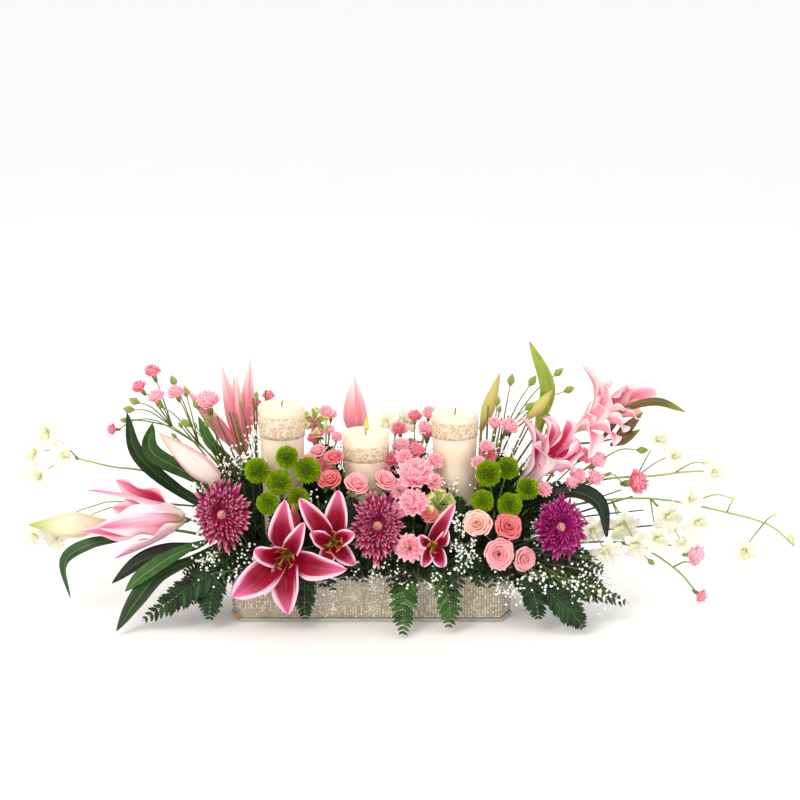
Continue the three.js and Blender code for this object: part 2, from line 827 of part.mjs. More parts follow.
// Stems of the open lilies, with their leaves and closed buds
const frontStem = rooted([[-96, -58, 98], [-102, -68, 106], ...seat(LILIES.front_left)], LILY_STEM, 3);
grow("lily_stem_front", "leaf", [
  frontStem,
  twig([frontStem.userData.joints[2], [-78, -62, 112], ...seat(LILIES.front_middle)], LILY_STEM, 3, 4),
]);
grow("lily_stem_left", "leaf", [
  rooted([[-184, -20, 84], [-235, -22, 118], ...seat(LILIES.left)], LILY_STEM, 4),
  leaf([[-232, -22, 116], [-262, -52, 108], [-304, -66, 104], [-346, -78, 90], [-385, -90, 62]], 24),
  leaf([[-222, -22, 110], [-268, -70, 92], [-316, -98, 76], [-345, -124, 46], [-372, -150, 6]], 26),
]);
grow("lily_bud_far_left", "creamLily", [
  rooted([[-184, 12, 78], [-250, 10, 104], [-340, 0, 122], [-398, -12, 131]], LILY_STEM, 4),
  bud([-394, -12, 131], [-519, -20, 131], 20),
  leaf([[-330, 0, 120], [-376, -40, 116], [-422, -50, 110], [-460, -56, 84], [-453, -60, 28]], 17),
]);
grow("lily_bud_left", "creamLily", [
  rooted([[-176, -4, 98], [-200, -14, 148], [-214, -26, 192]], LILY_STEM, 3),
  bud([-212, -25, 189], [-320, -10, 273], 19),
  leaf([[-196, -12, 140], [-262, 20, 190], [-332, 12, 236], [-331, 15, 281]], 20, [0, -1, 0.3]),
  leaf([[-190, -10, 128], [-280, 30, 160], [-352, 6, 232], [-367, 0, 302]], 22, [0, -1, 0.3]),
]);
grow("lily_buds_upper_left", "pinkLily", [
  rooted([[-160, 40, 98], [-184, 52, 170], [-198, 60, 222]], LILY_STEM, 4),
  bud([-198, 60, 218], [-230, 62, 365], 11),
  bud([-196, 62, 218], [-186, 74, 373], 12),
  bud([-198, 58, 218], [-288, 44, 338], 11),
  bud([-197, 60, 218], [-214, 90, 340], 11),
]);
grow("lily_bud_back", "pinkLily", [
  rooted([[-40, 46, 98], [-30, 66, 180], [-24, 68, 240]], LILY_STEM, 4),
  bud([-24, 68, 236], [-27, 72, 343], 20),
]);
grow("lily_stem_right", "leaf", [
  rooted([[168, -12, 98], [190, -10, 140], ...seat(LILIES.right)], LILY_STEM, 4),
  leaf([[184, -10, 130], [240, -40, 176], [300, -52, 196], [340, -58, 176], [353, -62, 120]], 20),
]);
grow("lily_stem_upper_right", "leaf", [
  rooted([[174, 34, 98], [230, 44, 170], [280, 52, 232], ...seat(LILIES.upper_right)], LILY_STEM, 4),
  leaf([[250, 47, 196], [258, 60, 270], [268, 52, 330], [239, 46, 402]], 20, [0, -1, 0.2]),
]);
grow("lily_buds_right", "paleLeaf", [
  rooted([[158, 48, 98], [164, 56, 180], [168, 56, 262]], LILY_STEM, 4),
  bud([167, 56, 256], [196, 52, 352], 10),
  twig([[166, 56, 230], [200, 40, 250], [238, 26, 286]], 2, 3, 4),
  bud([234, 27, 282], [276, 30, 331], 9),
]);

// Chrysanthemums
const MUMS = {
  left: { centre: [-218, -84, 165], axis: [-0.15, -0.9, 0.4], wide: 44, tall: 56, seed: 3 },
  middle: { centre: [10, -92, 150], axis: [0.05, -0.9, 0.42], wide: 38, tall: 56, seed: 5 },
  right: { centre: [278, -84, 146], axis: [0.3, -0.85, 0.4], wide: 46, tall: 52, seed: 7 },
  back: { centre: [-120, 100, 150], axis: [-0.1, 0.9, 0.4], wide: 50, tall: 52, seed: 11 },
};
const MUM_STEMS = {
  left: [[-184, -52, 92], [-200, -60, 128]],
  middle: [[8, -58, 98], [9, -66, 124]],
  right: [[184, -48, 92], [226, -62, 114]],
  back: [[-116, 58, 98], [-118, 70, 124]],
};
for (const [name, flower] of Object.entries(MUMS)) {
  const neck = at(flower.centre).addScaledVector(at(flower.axis).normalize(), -4).toArray();
  grow(`mum_${name}`, "mum", [...mum(flower), rooted([...MUM_STEMS[name], neck], FLOWER_STEM, 3)]);
}

/** A short stem that ends in a knot, from which the twigs of a bunch part. */
function knotted(entry, joint) {
  const middle = entry.map((value, i) => mix(value, joint[i], 0.5));
  const knot = new THREE.OctahedronGeometry(KNOT, 0).translate(...joint);
  return [rooted([entry, middle, joint], FLOWER_STEM, 2), knot];
}

/** Button chrysanthemums [x, y, z, radius] on twigs from one joint. */
function poms(entry, joint, heads) {
  const buttons = heads.map(([x, y, z, radius]) => pom([x, y, z], radius));
  const twigs = heads.map(([x, y, z]) => twig([joint, [x, y, z]], SPRAY_STEM));
  return [...knotted(entry, joint), ...buttons, ...twigs];
}

grow("poms_left", "pom", poms([-132, -44, 98], [-134, -42, 168], [
  [-124, -54, 246, 15],
  [-94, -52, 226, 17],
  [-169, -48, 224, 17],
  [-136, -62, 210, 17],
  [-107, -69, 187, 14],
  [-152, -78, 182, 15],
]));
grow("poms_right", "pom", poms([176, -38, 98], [186, -42, 160], [
  [174, -60, 223, 17],
  [204, -42, 226, 15],
  [233, -56, 198, 15],
  [206, -74, 178, 16],
  [165, -76, 185, 15],
]));
grow("poms_back", "pom", poms([-20, 58, 98], [-26, 64, 150], [
  [-26, 94, 196, 18],
  [-52, 80, 170, 17],
  [0, 84, 166, 17],
]));

/** Roses or carnations [x, y, z, radius] on twigs from one joint, all facing away from the joint. */
function heads(make, entry, joint, list, outward) {
  const pieces = knotted(entry, joint);
  list.forEach(([x, y, z, radius], i) => {
    const away = v(x, y, z).sub(at(joint)).normalize().multiplyScalar(0.6).add(at(outward)).normalize();
    pieces.push(make([x, y, z], radius, away.toArray(), i));
    const neck = v(x, y, z).addScaledVector(away, -0.5 * radius);
    pieces.push(twig([joint, neck.toArray()], SPRAY_STEM));
  });
  return pieces;
}

grow("roses_right", "rose", heads(rose, [176, -60, 90], [188, -76, 112], [
  [157, -98, 157, 20],
  [203, -98, 152, 20],
  [189, -112, 114, 22],
  [228, -104, 104, 17],
], [0.1, -0.9, 0.3]));
grow("roses_middle", "rose", heads(rose, [-46, -44, 98], [-44, -46, 172], [
  [-62, -54, 212, 17],
  [-55, -44, 244, 15],
  [-80, -14, 246, 13],
  [-80, 10, 268, 13],
  [-21, -58, 208, 17],
  [22, -57, 212, 16],
], [0, -0.6, 0.6]));
grow("roses_back", "rose", heads(rose, [140, 58, 98], [146, 70, 120], [
  [132, 92, 156, 20],
  [174, 92, 160, 20],
  [160, 108, 116, 20],
  [204, 96, 122, 18],
], [0.1, 0.9, 0.3]));

grow("carnations_middle", "carnation", heads(carnation, [62, -52, 98], [64, -56, 146], [
  [68, -54, 223, 25],
  [64, -80, 185, 19],
  [66, -14, 247, 13],
  [86, 30, 264, 13],
  [44, 18, 246, 14],
  [58, -105, 121, 18],
], [0, -0.7, 0.5]));
grow("rosebud_front", "rose", heads(rose, [74, -60, 98], [80, -66, 130], [
  [87, -80, 166, 13],
  [106, -66, 186, 15],
], [0, -0.7, 0.5]));

// Carnation sprays with closed buds
grow("carnations_upper_left", "carnation", spray(
  [[-176, 22, 98], [-214, 20, 190], [-252, 22, 236], [-302, 22, 274]], FLOWER_STEM, 5, [
    {
      from: 3,
      to: [[-252, 26, 270], [-248, 30, 306]],
      head: [carnation([-248, 30, 312], 18, [-0.1, -0.5, 0.8])],
    },
    {
      from: 5,
      to: [[-322, 32, 320], [-332, 40, 350]],
      head: [carnation([-332, 40, 354], 12, [-0.4, -0.2, 0.9])],
    },
    { from: 4, to: [[-290, 34, 310], [-297, 42, 334]], head: [bud([-297, 42, 330], [-296, 44, 352], 6)] },
    { from: 5, to: [[-336, 26, 296], [-360, 22, 300]], head: [bud([-356, 23, 300], [-378, 20, 304], 6)] },
    {
      from: 5,
      to: [[-334, 28, 310], [-350, 30, 328]],
      head: [carnation([-352, 30, 332], 11, [-0.7, -0.2, 0.7])],
    },
  ]));
grow("carnations_right", "carnation", spray(
  [[184, 4, 90], [250, -8, 150], [300, -14, 200], [336, -4, 222]], FLOWER_STEM, 4, [
    { from: 4, to: [[338, -2, 226]], head: [carnation([339, -2, 228], 15, [0.6, -0.5, 0.6])] },
    {
      from: 3,
      to: [[350, -24, 196], [396, -30, 200]],
      head: [carnation([399, -30, 201], 19, [0.8, -0.4, 0.3])],
    },
    { from: 4, to: [[380, 0, 236], [402, 0, 244]], head: [bud([398, 0, 242], [420, 0, 258], 6)] },
  ]));
grow("carnations_upper_right", "carnation", spray(
  [[150, 30, 98], [172, 26, 180], [196, 30, 250]], FLOWER_STEM, 4, [
    { from: 4, to: [[206, 44, 300], [211, 50, 334]], head: [bud([211, 50, 330], [212, 51, 352], 6)] },
    { from: 4, to: [[222, 44, 300], [240, 50, 334]], head: [bud([240, 50, 330], [243, 51, 352], 6)] },
    { from: 3, to: [[204, 16, 256], [209, 12, 272]], head: [carnation([209, 10, 278], 14, [0, -0.5, 0.8])] },
    { from: 3, to: [[186, 0, 234], [177, -18, 240]], head: [carnation([176, -22, 243], 13, [0, -0.8, 0.5])] },
  ]));
grow("carnations_far_right", "carnation", spray(
  [[184, -30, 78], [270, -34, 100], [340, -38, 110], [402, -42, 105], [460, -45, 68], [490, -45, 34]],
  FLOWER_STEM, 7, [
    {
      from: 5,
      to: [[440, -44, 98], [482, -47, 94]],
      head: [carnation([487, -48, 93], 16, [0.8, -0.5, 0.1])],
    },
    { from: 7, to: [[494, -45, 29]], head: [bud([487, -45, 37], [511, -45, 10], 8)] },
  ]));
// Dendrobium orchids
grow("orchids_left", "orchid", spray(
  [[-184, 24, 84], [-260, 46, 150], [-340, 40, 196], [-393, 16, 212], [-443, 4, 228]], FLOWER_STEM, 6, [
    {
      from: 6,
      to: [[-470, 6, 250], [-492, 10, 270]],
      head: orchid([-492, 10, 270], 24, [-0.5, -0.8, 0.2], 0.3),
    },
    { from: 6, to: [[-462, -4, 236]], head: orchid([-462, -4, 236], 22, [-0.2, -0.9, 0.2], -0.4) },
    {
      from: 6,
      to: [[-470, 0, 214], [-502, -2, 203]],
      head: orchid([-502, -2, 203], 24, [-0.6, -0.7, -0.1], 0.5),
    },
    {
      from: 2,
      to: [[-330, 50, 140], [-420, 40, 112], [-482, 10, 104]],
      head: orchid([-482, 10, 104], 22, [-0.3, -0.9, 0.1], 0.2),
    },
    {
      from: 2,
      to: [[-360, 60, 150], [-470, 30, 118], [-524, 4, 104]],
      head: orchid([-524, 4, 104], 22, [-0.7, -0.6, 0], 0.8),
    },
  ]));
grow("orchids_right_long", "orchid", spray(
  [
    [184, -14, 80],
    [270, -22, 150],
    [345, -30, 172],
    [430, -38, 177],
    [525, -45, 160],
    [596, -50, 140],
    [634, -54, 106],
  ],
  FLOWER_STEM, 9, [
    {
      from: 8,
      to: [[562, -50, 130], [560, -54, 102]],
      head: orchid([560, -54, 102], 20, [0.2, -0.8, -0.4], 0.4),
    },
    { from: 9, to: [[638, -55, 100]], head: [bud([630, -53, 114], [642, -56, 96], 6)] },
    { from: 5, to: [[442, -56, 156]], head: orchid([442, -56, 156], 24, [0.2, -0.9, 0.1], 0.5) },
    { from: 6, to: [[486, -60, 148]], head: orchid([486, -60, 148], 22, [0.3, -0.9, -0.1], -0.3) },
    { from: 6, to: [[503, -38, 182], [520, -38, 192], [540, -42, 176]] },
    { from: 4, to: [[376, -36, 136]], head: orchid([376, -36, 136], 26, [0.2, -0.9, 0.2], 0.3) },
    {
      from: 3,
      to: [[346, -44, 130], [350, -56, 104]],
      head: orchid([350, -56, 102], 24, [0.1, -0.9, -0.1], -0.5),
    },
  ]));
grow("orchids_right_upper", "orchid", spray(
  [[184, 24, 84], [260, 14, 160], [345, -8, 198], [425, -10, 205], [470, -10, 211], [514, -10, 213]],
  FLOWER_STEM, 7, [
    { from: 7, to: [[517, -16, 214]], head: orchid([516, -16, 214], 16, [0.7, -0.6, 0.2], 0.6) },
    { from: 5, to: [[424, 2, 226], [432, 2, 258]], head: orchid([432, 2, 258], 20, [0.1, -0.8, 0.5], -0.2) },
    { from: 5, to: [[440, 4, 226], [456, -4, 233]], head: orchid([456, -4, 233], 16, [0.4, -0.8, 0.2], 0.9) },
  ]));
grow("orchids_middle", "orchid", spray(
  [[26, 40, 98], [28, 56, 180], [36, 60, 250]], FLOWER_STEM, 4, [
    { from: 4, to: [[22, 56, 272]], head: orchid([22, 56, 272], 20, [-0.2, -0.8, 0.5], 0.2) },
    { from: 4, to: [[52, 58, 274]], head: orchid([52, 58, 274], 20, [0.3, -0.8, 0.5], -0.6) },
  ]));

// Baby's breath
grow("breath_left", "breath", breath(
  [[-184, -42, 78], [-216, -56, 92], [-236, -70, 104], [-256, -76, 94], [-264, -78, 80]], 6, [9, 6, 8], 21));
grow("breath_upper_left", "breath", breath(
  [[-172, -26, 98], [-180, -24, 170], [-184, -12, 214], [-200, -4, 252]], 6, [10, 8, 5], 22));
grow("breath_front_right", "breath", breath(
  [[124, -64, 98], [128, -84, 116], [132, -100, 128], [128, -106, 100], [126, -110, 84]], 6, [8, 5, 6], 23));
grow("breath_right", "breath", breath(
  [[176, -66, 86], [214, -84, 92], [258, -112, 86], [296, -124, 74], [322, -126, 60]], 7, [7, 3, 7], 24));

// Fern
const FRONT = [0, -1, 0.35];
grow("fern_left", "fern", [
  rooted([[-150, -66, 84], [-190, -88, 84], [-232, -96, 80]], SPRAY_STEM, 3),
  frond(
    [[-230, -96, 80], [-262, -104, 64], [-296, -116, 44], [-338, -128, 16]],
    26,
    { facing: [0, -0.6, 1] },
  ),
  frond([[-229, -96, 80], [-232, -108, 64], [-236, -120, 42], [-238, -126, 18]], 19, { facing: FRONT }),
]);
grow("fern_front_left", "fern", [
  rooted([[-98, -66, 82], [-98, -78, 84], [-98, -90, 78]], SPRAY_STEM, 3),
  frond([[-98, -89, 80], [-98, -98, 62], [-98, -108, 38], [-97, -116, 12]], 17, { facing: FRONT }),
]);
const frontFern = rooted([[80, -66, 84], [78, -84, 88], [70, -94, 84]], SPRAY_STEM, 3);
grow("fern_front_middle", "fern", [
  frontFern,
  frond([[71, -93, 84], [54, -104, 72], [48, -132, 34], [48, -166, 6]], 20, { facing: FRONT }),
  frond([[71, -93, 84], [104, -102, 76], [116, -124, 40], [115, -142, 10]], 20, { facing: FRONT }),
]);
grow("fern_right", "fern", [
  rooted([[160, -66, 76], [196, -90, 84], [224, -98, 80]], SPRAY_STEM, 3),
  frond([[222, -98, 81], [236, -112, 64], [244, -126, 44], [247, -136, 22]], 20, { facing: FRONT }),
  frond([[220, -97, 82], [280, -104, 72], [334, -96, 54], [386, -84, 30]], 26, { facing: [0, -0.6, 1] }),
  frond(
    [[222, -98, 80], [262, -128, 60], [292, -142, 38], [314, -146, 12]],
    20,
    { facing: FRONT, bare: 0.3, pairs: 5 },
  ),
]);
grow("fern_back", "fern", [
  rooted([[20, 66, 84], [20, 82, 90], [20, 94, 88]], SPRAY_STEM, 3),
  frond([[20, 92, 89], [-30, 104, 84], [-70, 130, 50], [-90, 150, 12]], 24, { facing: [0, 1, 0.35] }),
  frond([[20, 92, 89], [70, 104, 84], [106, 130, 46], [124, 150, 12]], 24, { facing: [0, 1, 0.35] }),
]);

// Container, foam and candles
const trayInset = WRAP_THICK + GAP;
const linerInset = trayInset + TRAY_WALL + GAP;
const linerFoot = TRAY_FLOOR + GAP;
const foamFoot = linerFoot + LINER_WALL + GAP;
add("tray", "tray", openBox(trayInset, TRAY_WALL, 0, TRAY_FLOOR, TRAY_HEIGHT), 0.5);
add("bead_wrap", "beads", ringWall(0, WRAP_THICK, FOOT_STRIP_HEIGHT + GAP, TRAY_HEIGHT), 0.3, 0.6);
add("foot_strip", "metal", ringWall(-FOOT_STRIP_STANDS_OUT, WRAP_THICK, 0, FOOT_STRIP_HEIGHT), 0.25, 0.9);
add("liner", "liner", openBox(linerInset, LINER_WALL, linerFoot, LINER_WALL, TRAY_HEIGHT - 4), 0.5);
add("floral_foam", "foam", foam(foamFoot), 0.95);
for (const [name, size] of Object.entries(CANDLES)) {
  add(`candle_${name}`, "wax", candle(size), 0.45);
  add(`wick_${name}`, "wick", wick(size), 0.9);
  add(`lace_band_${name}`, "lace", laceBand(size), 0.7);
}

export default group;
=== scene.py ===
"""The looks of a floral table centerpiece, built over its CAD solids.

A beaded tray with floral foam and three pillar candles carries lilies, spider and button chrysanthemums,
spray roses, carnations, dendrobium orchids, baby's breath, fern and leaves. Shapes are worked out in
millimetres, +Z up, -Y towards the side mostly looked at, and are brought to metres when a piece is finished.
"""

import logging
import math
import random
from collections.abc import Callable, Iterable, Sequence
from dataclasses import dataclass, field
from enum import Enum

import bmesh
import bpy
from mathutils import Matrix, Vector


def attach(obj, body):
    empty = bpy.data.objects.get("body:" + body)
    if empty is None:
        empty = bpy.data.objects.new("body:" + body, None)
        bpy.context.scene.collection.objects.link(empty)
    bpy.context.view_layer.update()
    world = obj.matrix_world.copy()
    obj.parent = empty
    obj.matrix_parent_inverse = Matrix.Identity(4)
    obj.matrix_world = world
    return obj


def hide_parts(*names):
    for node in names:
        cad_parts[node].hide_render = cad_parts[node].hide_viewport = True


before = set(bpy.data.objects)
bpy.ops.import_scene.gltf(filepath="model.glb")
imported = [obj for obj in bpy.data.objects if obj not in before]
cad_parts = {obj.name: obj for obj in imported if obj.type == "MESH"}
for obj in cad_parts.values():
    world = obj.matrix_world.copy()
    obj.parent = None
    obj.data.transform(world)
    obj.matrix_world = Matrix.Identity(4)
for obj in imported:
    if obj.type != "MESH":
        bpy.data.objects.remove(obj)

log = logging.getLogger("centerpiece")
MM = 0.001
GOLDEN = math.radians(137.508)
UP = Vector((0, 0, 1))
ARC_STEPS = 7
JOINT_STEPS = 60
STEM_DEPTH = 26.0  # how deep a stem stands in the foam
Place = tuple[float, ...]
Mesh = bmesh.types.BMesh


# ------------------------------------------------------------------ numbers and lines
def mix(a: float, b: float, t: float) -> float:
    """The value a share t of the way from a to b."""
    return a + (b - a) * t


def ease(t: float) -> float:
    """A smooth step from 0 to 1, held at both ends."""
    t = min(1.0, max(0.0, t))
    return t * t * (3 - 2 * t)


def ink(code: str) -> tuple[float, float, float]:
    """A six-digit colour as linear red, green and blue."""
    parts = [int(code[i : i + 2], 16) / 255 for i in (0, 2, 4)]
    return tuple(c / 12.92 if c <= 0.04045 else ((c + 0.055) / 1.055) ** 2.4 for c in parts)


def polar(angle: float, reach: float = 1.0, height: float = 0.0) -> Vector:
    """The point that lies reach away from the +Z axis, at an angle round it."""
    return Vector((reach * math.cos(angle), reach * math.sin(angle), height))


@dataclass(frozen=True)
class Station:
    """A place on a rib with the direction across it and the direction along it."""

    centre: Vector
    side: Vector
    forward: Vector

    @property
    def up(self) -> Vector:
        """The direction that the face of a blade looks in here."""
        return self.side.cross(self.forward)


@dataclass(frozen=True)
class Rib:
    """A smooth line through points.

    Attributes:
        points: the points in order, in millimetres.
    """

    points: tuple[Vector, ...]

    @classmethod
    def through(cls, *places: Sequence[float]) -> "Rib":
        """A rib through the given places."""
        return cls(tuple(Vector(place[:3]) for place in places))

    @classmethod
    def bow(cls, start: Sequence[float], end: Sequence[float], sag: Vector = Vector()) -> "Rib":
        """A rib from start to end whose middle is moved by sag."""
        start, end = Vector(start), Vector(end)
        return cls((start, start.lerp(end, 0.5) + sag, end))

    @classmethod
    def arc(cls, start: Vector, bend: Vector, end: Vector, curl: Vector = Vector()) -> "Rib":
        """A rib that leaves start towards bend and ends at end, its last part carried off by curl."""
        return cls(tuple(
            start * (1 - t) ** 2 + bend * (2 * t * (1 - t)) + end * t * t + curl * (t**4 * (1 - 0.5 * t))
            for t in (k / ARC_STEPS for k in range(ARC_STEPS + 1))
        ))

    def at(self, t: float) -> Vector:
        """The point a share t along the rib."""
        spans = len(self.points) - 1
        place = min(1.0, max(0.0, t)) * spans
        k = min(int(place), spans - 1)
        u = place - k
        b, c = self.points[k], self.points[k + 1]
        a = self.points[k - 1] if k else b * 2 - c
        d = self.points[k + 2] if k + 2 <= spans else c * 2 - b
        return 0.5 * (
            b * 2 + (c - a) * u + (a * 2 - b * 5 + c * 4 - d) * (u * u) + (b * 3 - a - c * 3 + d) * (u**3)
        )

    def steps(self, count: int) -> list[tuple[Vector, Vector, float]]:
        """The two ends and the length of each of count steps along the rib."""
        points = [self.at(k / count) for k in range(count + 1)]
        return [(p, q, (q - p).length) for p, q in zip(points, points[1:])]

    def joint(self, share: float) -> Vector:
        """The point that lies a share of the rib's length from its start."""
        steps = self.steps(JOINT_STEPS)
        left = share * sum(step for *_, step in steps)
        for p, q, step in steps:
            if left <= step:
                return p.lerp(q, left / max(step, 1e-9))
            left -= step
        return steps[-1][1]

    def stations(self, steps: int, side: Vector | None = None) -> list[Station]:
        """Frames along the rib.

        Args:
            steps: how many equal steps the rib is cut into.
            side: the direction across the rib at its start, or None for any.

        Returns:
            One station for each end of a step.
        """
        found: list[Station] = []
        for k in range(steps + 1):
            t = k / steps
            forward = (self.at(t + 0.02) - self.at(t - 0.02)).normalized()
            across = side if side is not None else forward.orthogonal()
            across = across - forward * across.dot(forward)
            side = across.normalized() if across.length > 1e-6 else forward.orthogonal().normalized()
            found.append(Station(self.at(t), side, forward))
        return found


# ------------------------------------------------------------------ sheets, shells and heads
class Outline(Enum):
    """How wide a blade is along its length: where it is widest, how full it is, and its share at the foot."""

    LILY = (1.15, 0.72, 0.3)
    LILY_INNER = (1.05, 0.62, 0.22)
    RAY = (1.3, 0.55, 0.5)
    OVAL = (1.1, 0.6, 0.2)
    ROUND = (1.25, 0.45, 0.25)
    LEAF = (0.78, 0.85, 0.12)
    LATE_LEAF = (1.5, 0.8, 0.1)
    BELL = (0.8, 0.6, 0.4)
    PINNA = (0.6, 0.75, 0.6)
    PLATE = (1.0, 0.0, 1.0)

    def share(self, t: float) -> float:
        """The width at t as a share of the greatest width."""
        late, full, foot = self.value
        if full == 0:
            return 1.0
        if t <= 0 or t >= 1:
            return foot if t <= 0 else 0.02
        return max(foot * (1 - t), math.sin(math.pi * t**late) ** full)


def fresh() -> Mesh:
    """An empty bmesh with room for a UV map."""
    part = bmesh.new()
    part.loops.layers.uv.new("UVMap")
    return part


def sheet(across: int, along: int) -> Mesh:
    """A flat sheet of faces from -0.5 to 0.5 each way."""
    part = fresh()
    bmesh.ops.create_grid(part, x_segments=across, y_segments=along, size=0.5, calc_uvs=True)
    return part


@dataclass(frozen=True)
class Blade:
    """A petal, leaf or leaflet: a sheet along a rib.

    Attributes:
        rib, side: the line along its middle, and the direction across it at its foot.
        width, outline: its greatest width, and how that changes.
        across, along: how many faces it has each way.
        cup, ripple, keel: how far its margins stand up and wave and its middle sinks, by half its width.
        waves, turn: how many waves a margin has, and where they begin.
        teeth: how far every second row is drawn in.
    """

    rib: Rib
    side: Vector
    width: float
    outline: Outline
    across: int = 2
    along: int = 5
    cup: float = 0.3
    ripple: float = 0.0
    waves: float = 2.0
    keel: float = 0.0
    teeth: float = 0.0
    turn: float = 0.0

    def carve(self) -> Mesh:
        """The sheet as a bmesh."""
        part = sheet(self.across, self.along)
        stations = self.rib.stations(self.along, self.side)
        for vert in part.verts:
            s, t = 2 * vert.co.x, vert.co.y + 0.5
            row = round(t * self.along)
            half = self.width / 2 * self.outline.share(t) * (1 - self.teeth * (row % 2))
            wave = math.sin(self.waves * t * 2 * math.pi + (2.2 if s > 0 else 0) + self.turn)
            lift = self.cup * abs(s) ** 1.7 + self.ripple * s * s * wave
            lift -= self.keel * max(0.0, 1 - abs(s) / 0.3)
            here = stations[row]
            vert.co = here.centre + here.side * (s * half) + here.up * (lift * half)
        return part


@dataclass(frozen=True)
class Sheath:
    """A stem, bud or other closed shell round a rib.

    Attributes:
        rib: the line along its middle.
        radius, profile: its greatest radius, and the share of it at t.
        sides, rings: how many faces it has round and along.
        lobes, groove: how many ridges run along it, and how deep the grooves are, by the radius.
    """

    rib: Rib
    radius: float
    profile: Callable[[float], float] = lambda t: 1.0
    sides: int = 6
    rings: int = 6
    lobes: int = 0
    groove: float = 0.0

    def carve(self) -> Mesh:
        """The closed shell as a bmesh."""
        part = sheet(self.sides, self.rings)
        stations = self.rib.stations(self.rings)
        for vert in part.verts:
            angle, t = 2 * math.pi * vert.co.x, vert.co.y + 0.5
            here = stations[round(t * self.rings)]
            reach = self.radius * self.profile(t) * (1 - self.groove * (1 - math.cos(self.lobes * angle)) / 2)
            vert.co = here.centre + (here.side * math.cos(angle) + here.up * math.sin(angle)) * reach
        bmesh.ops.remove_doubles(part, verts=part.verts[:], dist=1e-3)
        bmesh.ops.holes_fill(part, edges=part.edges[:], sides=0)
        bmesh.ops.recalc_face_normals(part, faces=part.faces[:])
        return part


def bulb(late: float = 0.8, full: float = 0.7) -> Callable[[float], float]:
    """A bud's profile, closed at both ends and widest near late."""
    return lambda t: math.sin(math.pi * min(1.0, max(0.0, t)) ** late) ** full if 0 < t < 1 else 0.0


class Clump:
    """Parts gathered into one mesh, in millimetres."""

    scratch = bpy.data.meshes.new("scratch")

    def __init__(self) -> None:
        """Starts with no part."""
        self.whole = fresh()

    def gather(self, part: "Mesh | Clump", slot: int | None = None) -> None:
        """Adds a part and frees it.

        Args:
            part: a bmesh, or another clump.
            slot: the material slot its faces take, or None to keep theirs.
        """
        source = part.whole if isinstance(part, Clump) else part
        for face in source.faces:
            face.smooth = True
            if slot is not None:
                face.material_index = slot
        source.to_mesh(self.scratch)
        source.free()
        self.whole.from_mesh(self.scratch)

    def add(self, shape: "Blade | Sheath | Wrapped", slot: int) -> None:
        """Carves a shape and adds it."""
        self.gather(shape.carve(), slot)

    def move(self, matrix: Matrix) -> None:
        """Moves everything gathered so far."""
        bmesh.ops.transform(self.whole, matrix=matrix, verts=self.whole.verts[:])

    def put(self, head: "Clump", bloom: "SpiderMum | Head", spin: float = 0.0) -> None:
        """Adds a head with its +Z turned to its bloom's axis, spun round that and moved to its centre."""
        turn = UP.rotation_difference(Vector(bloom.axis).normalized()).to_matrix().to_4x4()
        head.move(Matrix.Translation(Vector(bloom.centre)) @ turn @ Matrix.Rotation(spin, 4, "Z"))
        self.gather(head)

    def ball(self, centre: Vector, radius: float, slot: int = 0, fine: int = 1) -> None:
        """Adds a small ball."""
        part = fresh()
        matrix = Matrix.Translation(centre)
        bmesh.ops.create_icosphere(part, subdivisions=fine, radius=radius, matrix=matrix, calc_uvs=True)
        self.gather(part, slot)

    def stem(
        self, rib: Rib, radius: float, slot: int = 0, sides: int = 6, rings: int = 8, end: float = 0.8
    ) -> None:
        """Adds a stem along a rib, which thins to a share end of its radius."""
        self.add(Sheath(rib, radius, lambda t: mix(1.0, end, t), sides, rings), slot)


# ------------------------------------------------------------------ shader maths
def joined(operation: str, turned: bool = False) -> "Callable[[Socket, Number], Socket]":
    """The method for an operator: a Math node on a socket and another value, turned round where asked."""

    def join(self: "Socket", other: "Number") -> "Socket":
        """The node's result."""
        return self.shader.math(operation, *((other, self) if turned else (self, other)))

    return join


class Socket:
    """The value that a node gives out, for use in expressions."""

    __add__, __radd__ = joined("ADD"), joined("ADD", True)
    __sub__, __rsub__ = joined("SUBTRACT"), joined("SUBTRACT", True)
    __mul__, __rmul__ = joined("MULTIPLY"), joined("MULTIPLY", True)

    def __init__(self, shader: "Shader", out: bpy.types.NodeSocket) -> None:
        """Wraps a node's output socket."""
        self.shader, self.out = shader, out

    def __abs__(self) -> "Socket":
        """The size of this."""
        return self.shader.math("ABSOLUTE", self)

    def step(self, low: float, high: float) -> "Socket":
        """Smoothly 0 below low and 1 above high, or the other way round where low is the higher."""
        down = low > high
        ends = {"From Min": min(low, high), "From Max": max(low, high)}
        ends |= {"To Min": 1.0 if down else 0.0, "To Max": 0.0 if down else 1.0}
        kind = {"interpolation_type": "SMOOTHSTEP"}
        return self.shader.node("ShaderNodeMapRange", kind, {"Value": self, **ends}, "Result")


Number = Socket | float
Colour = Socket | str | tuple[float, float, float]


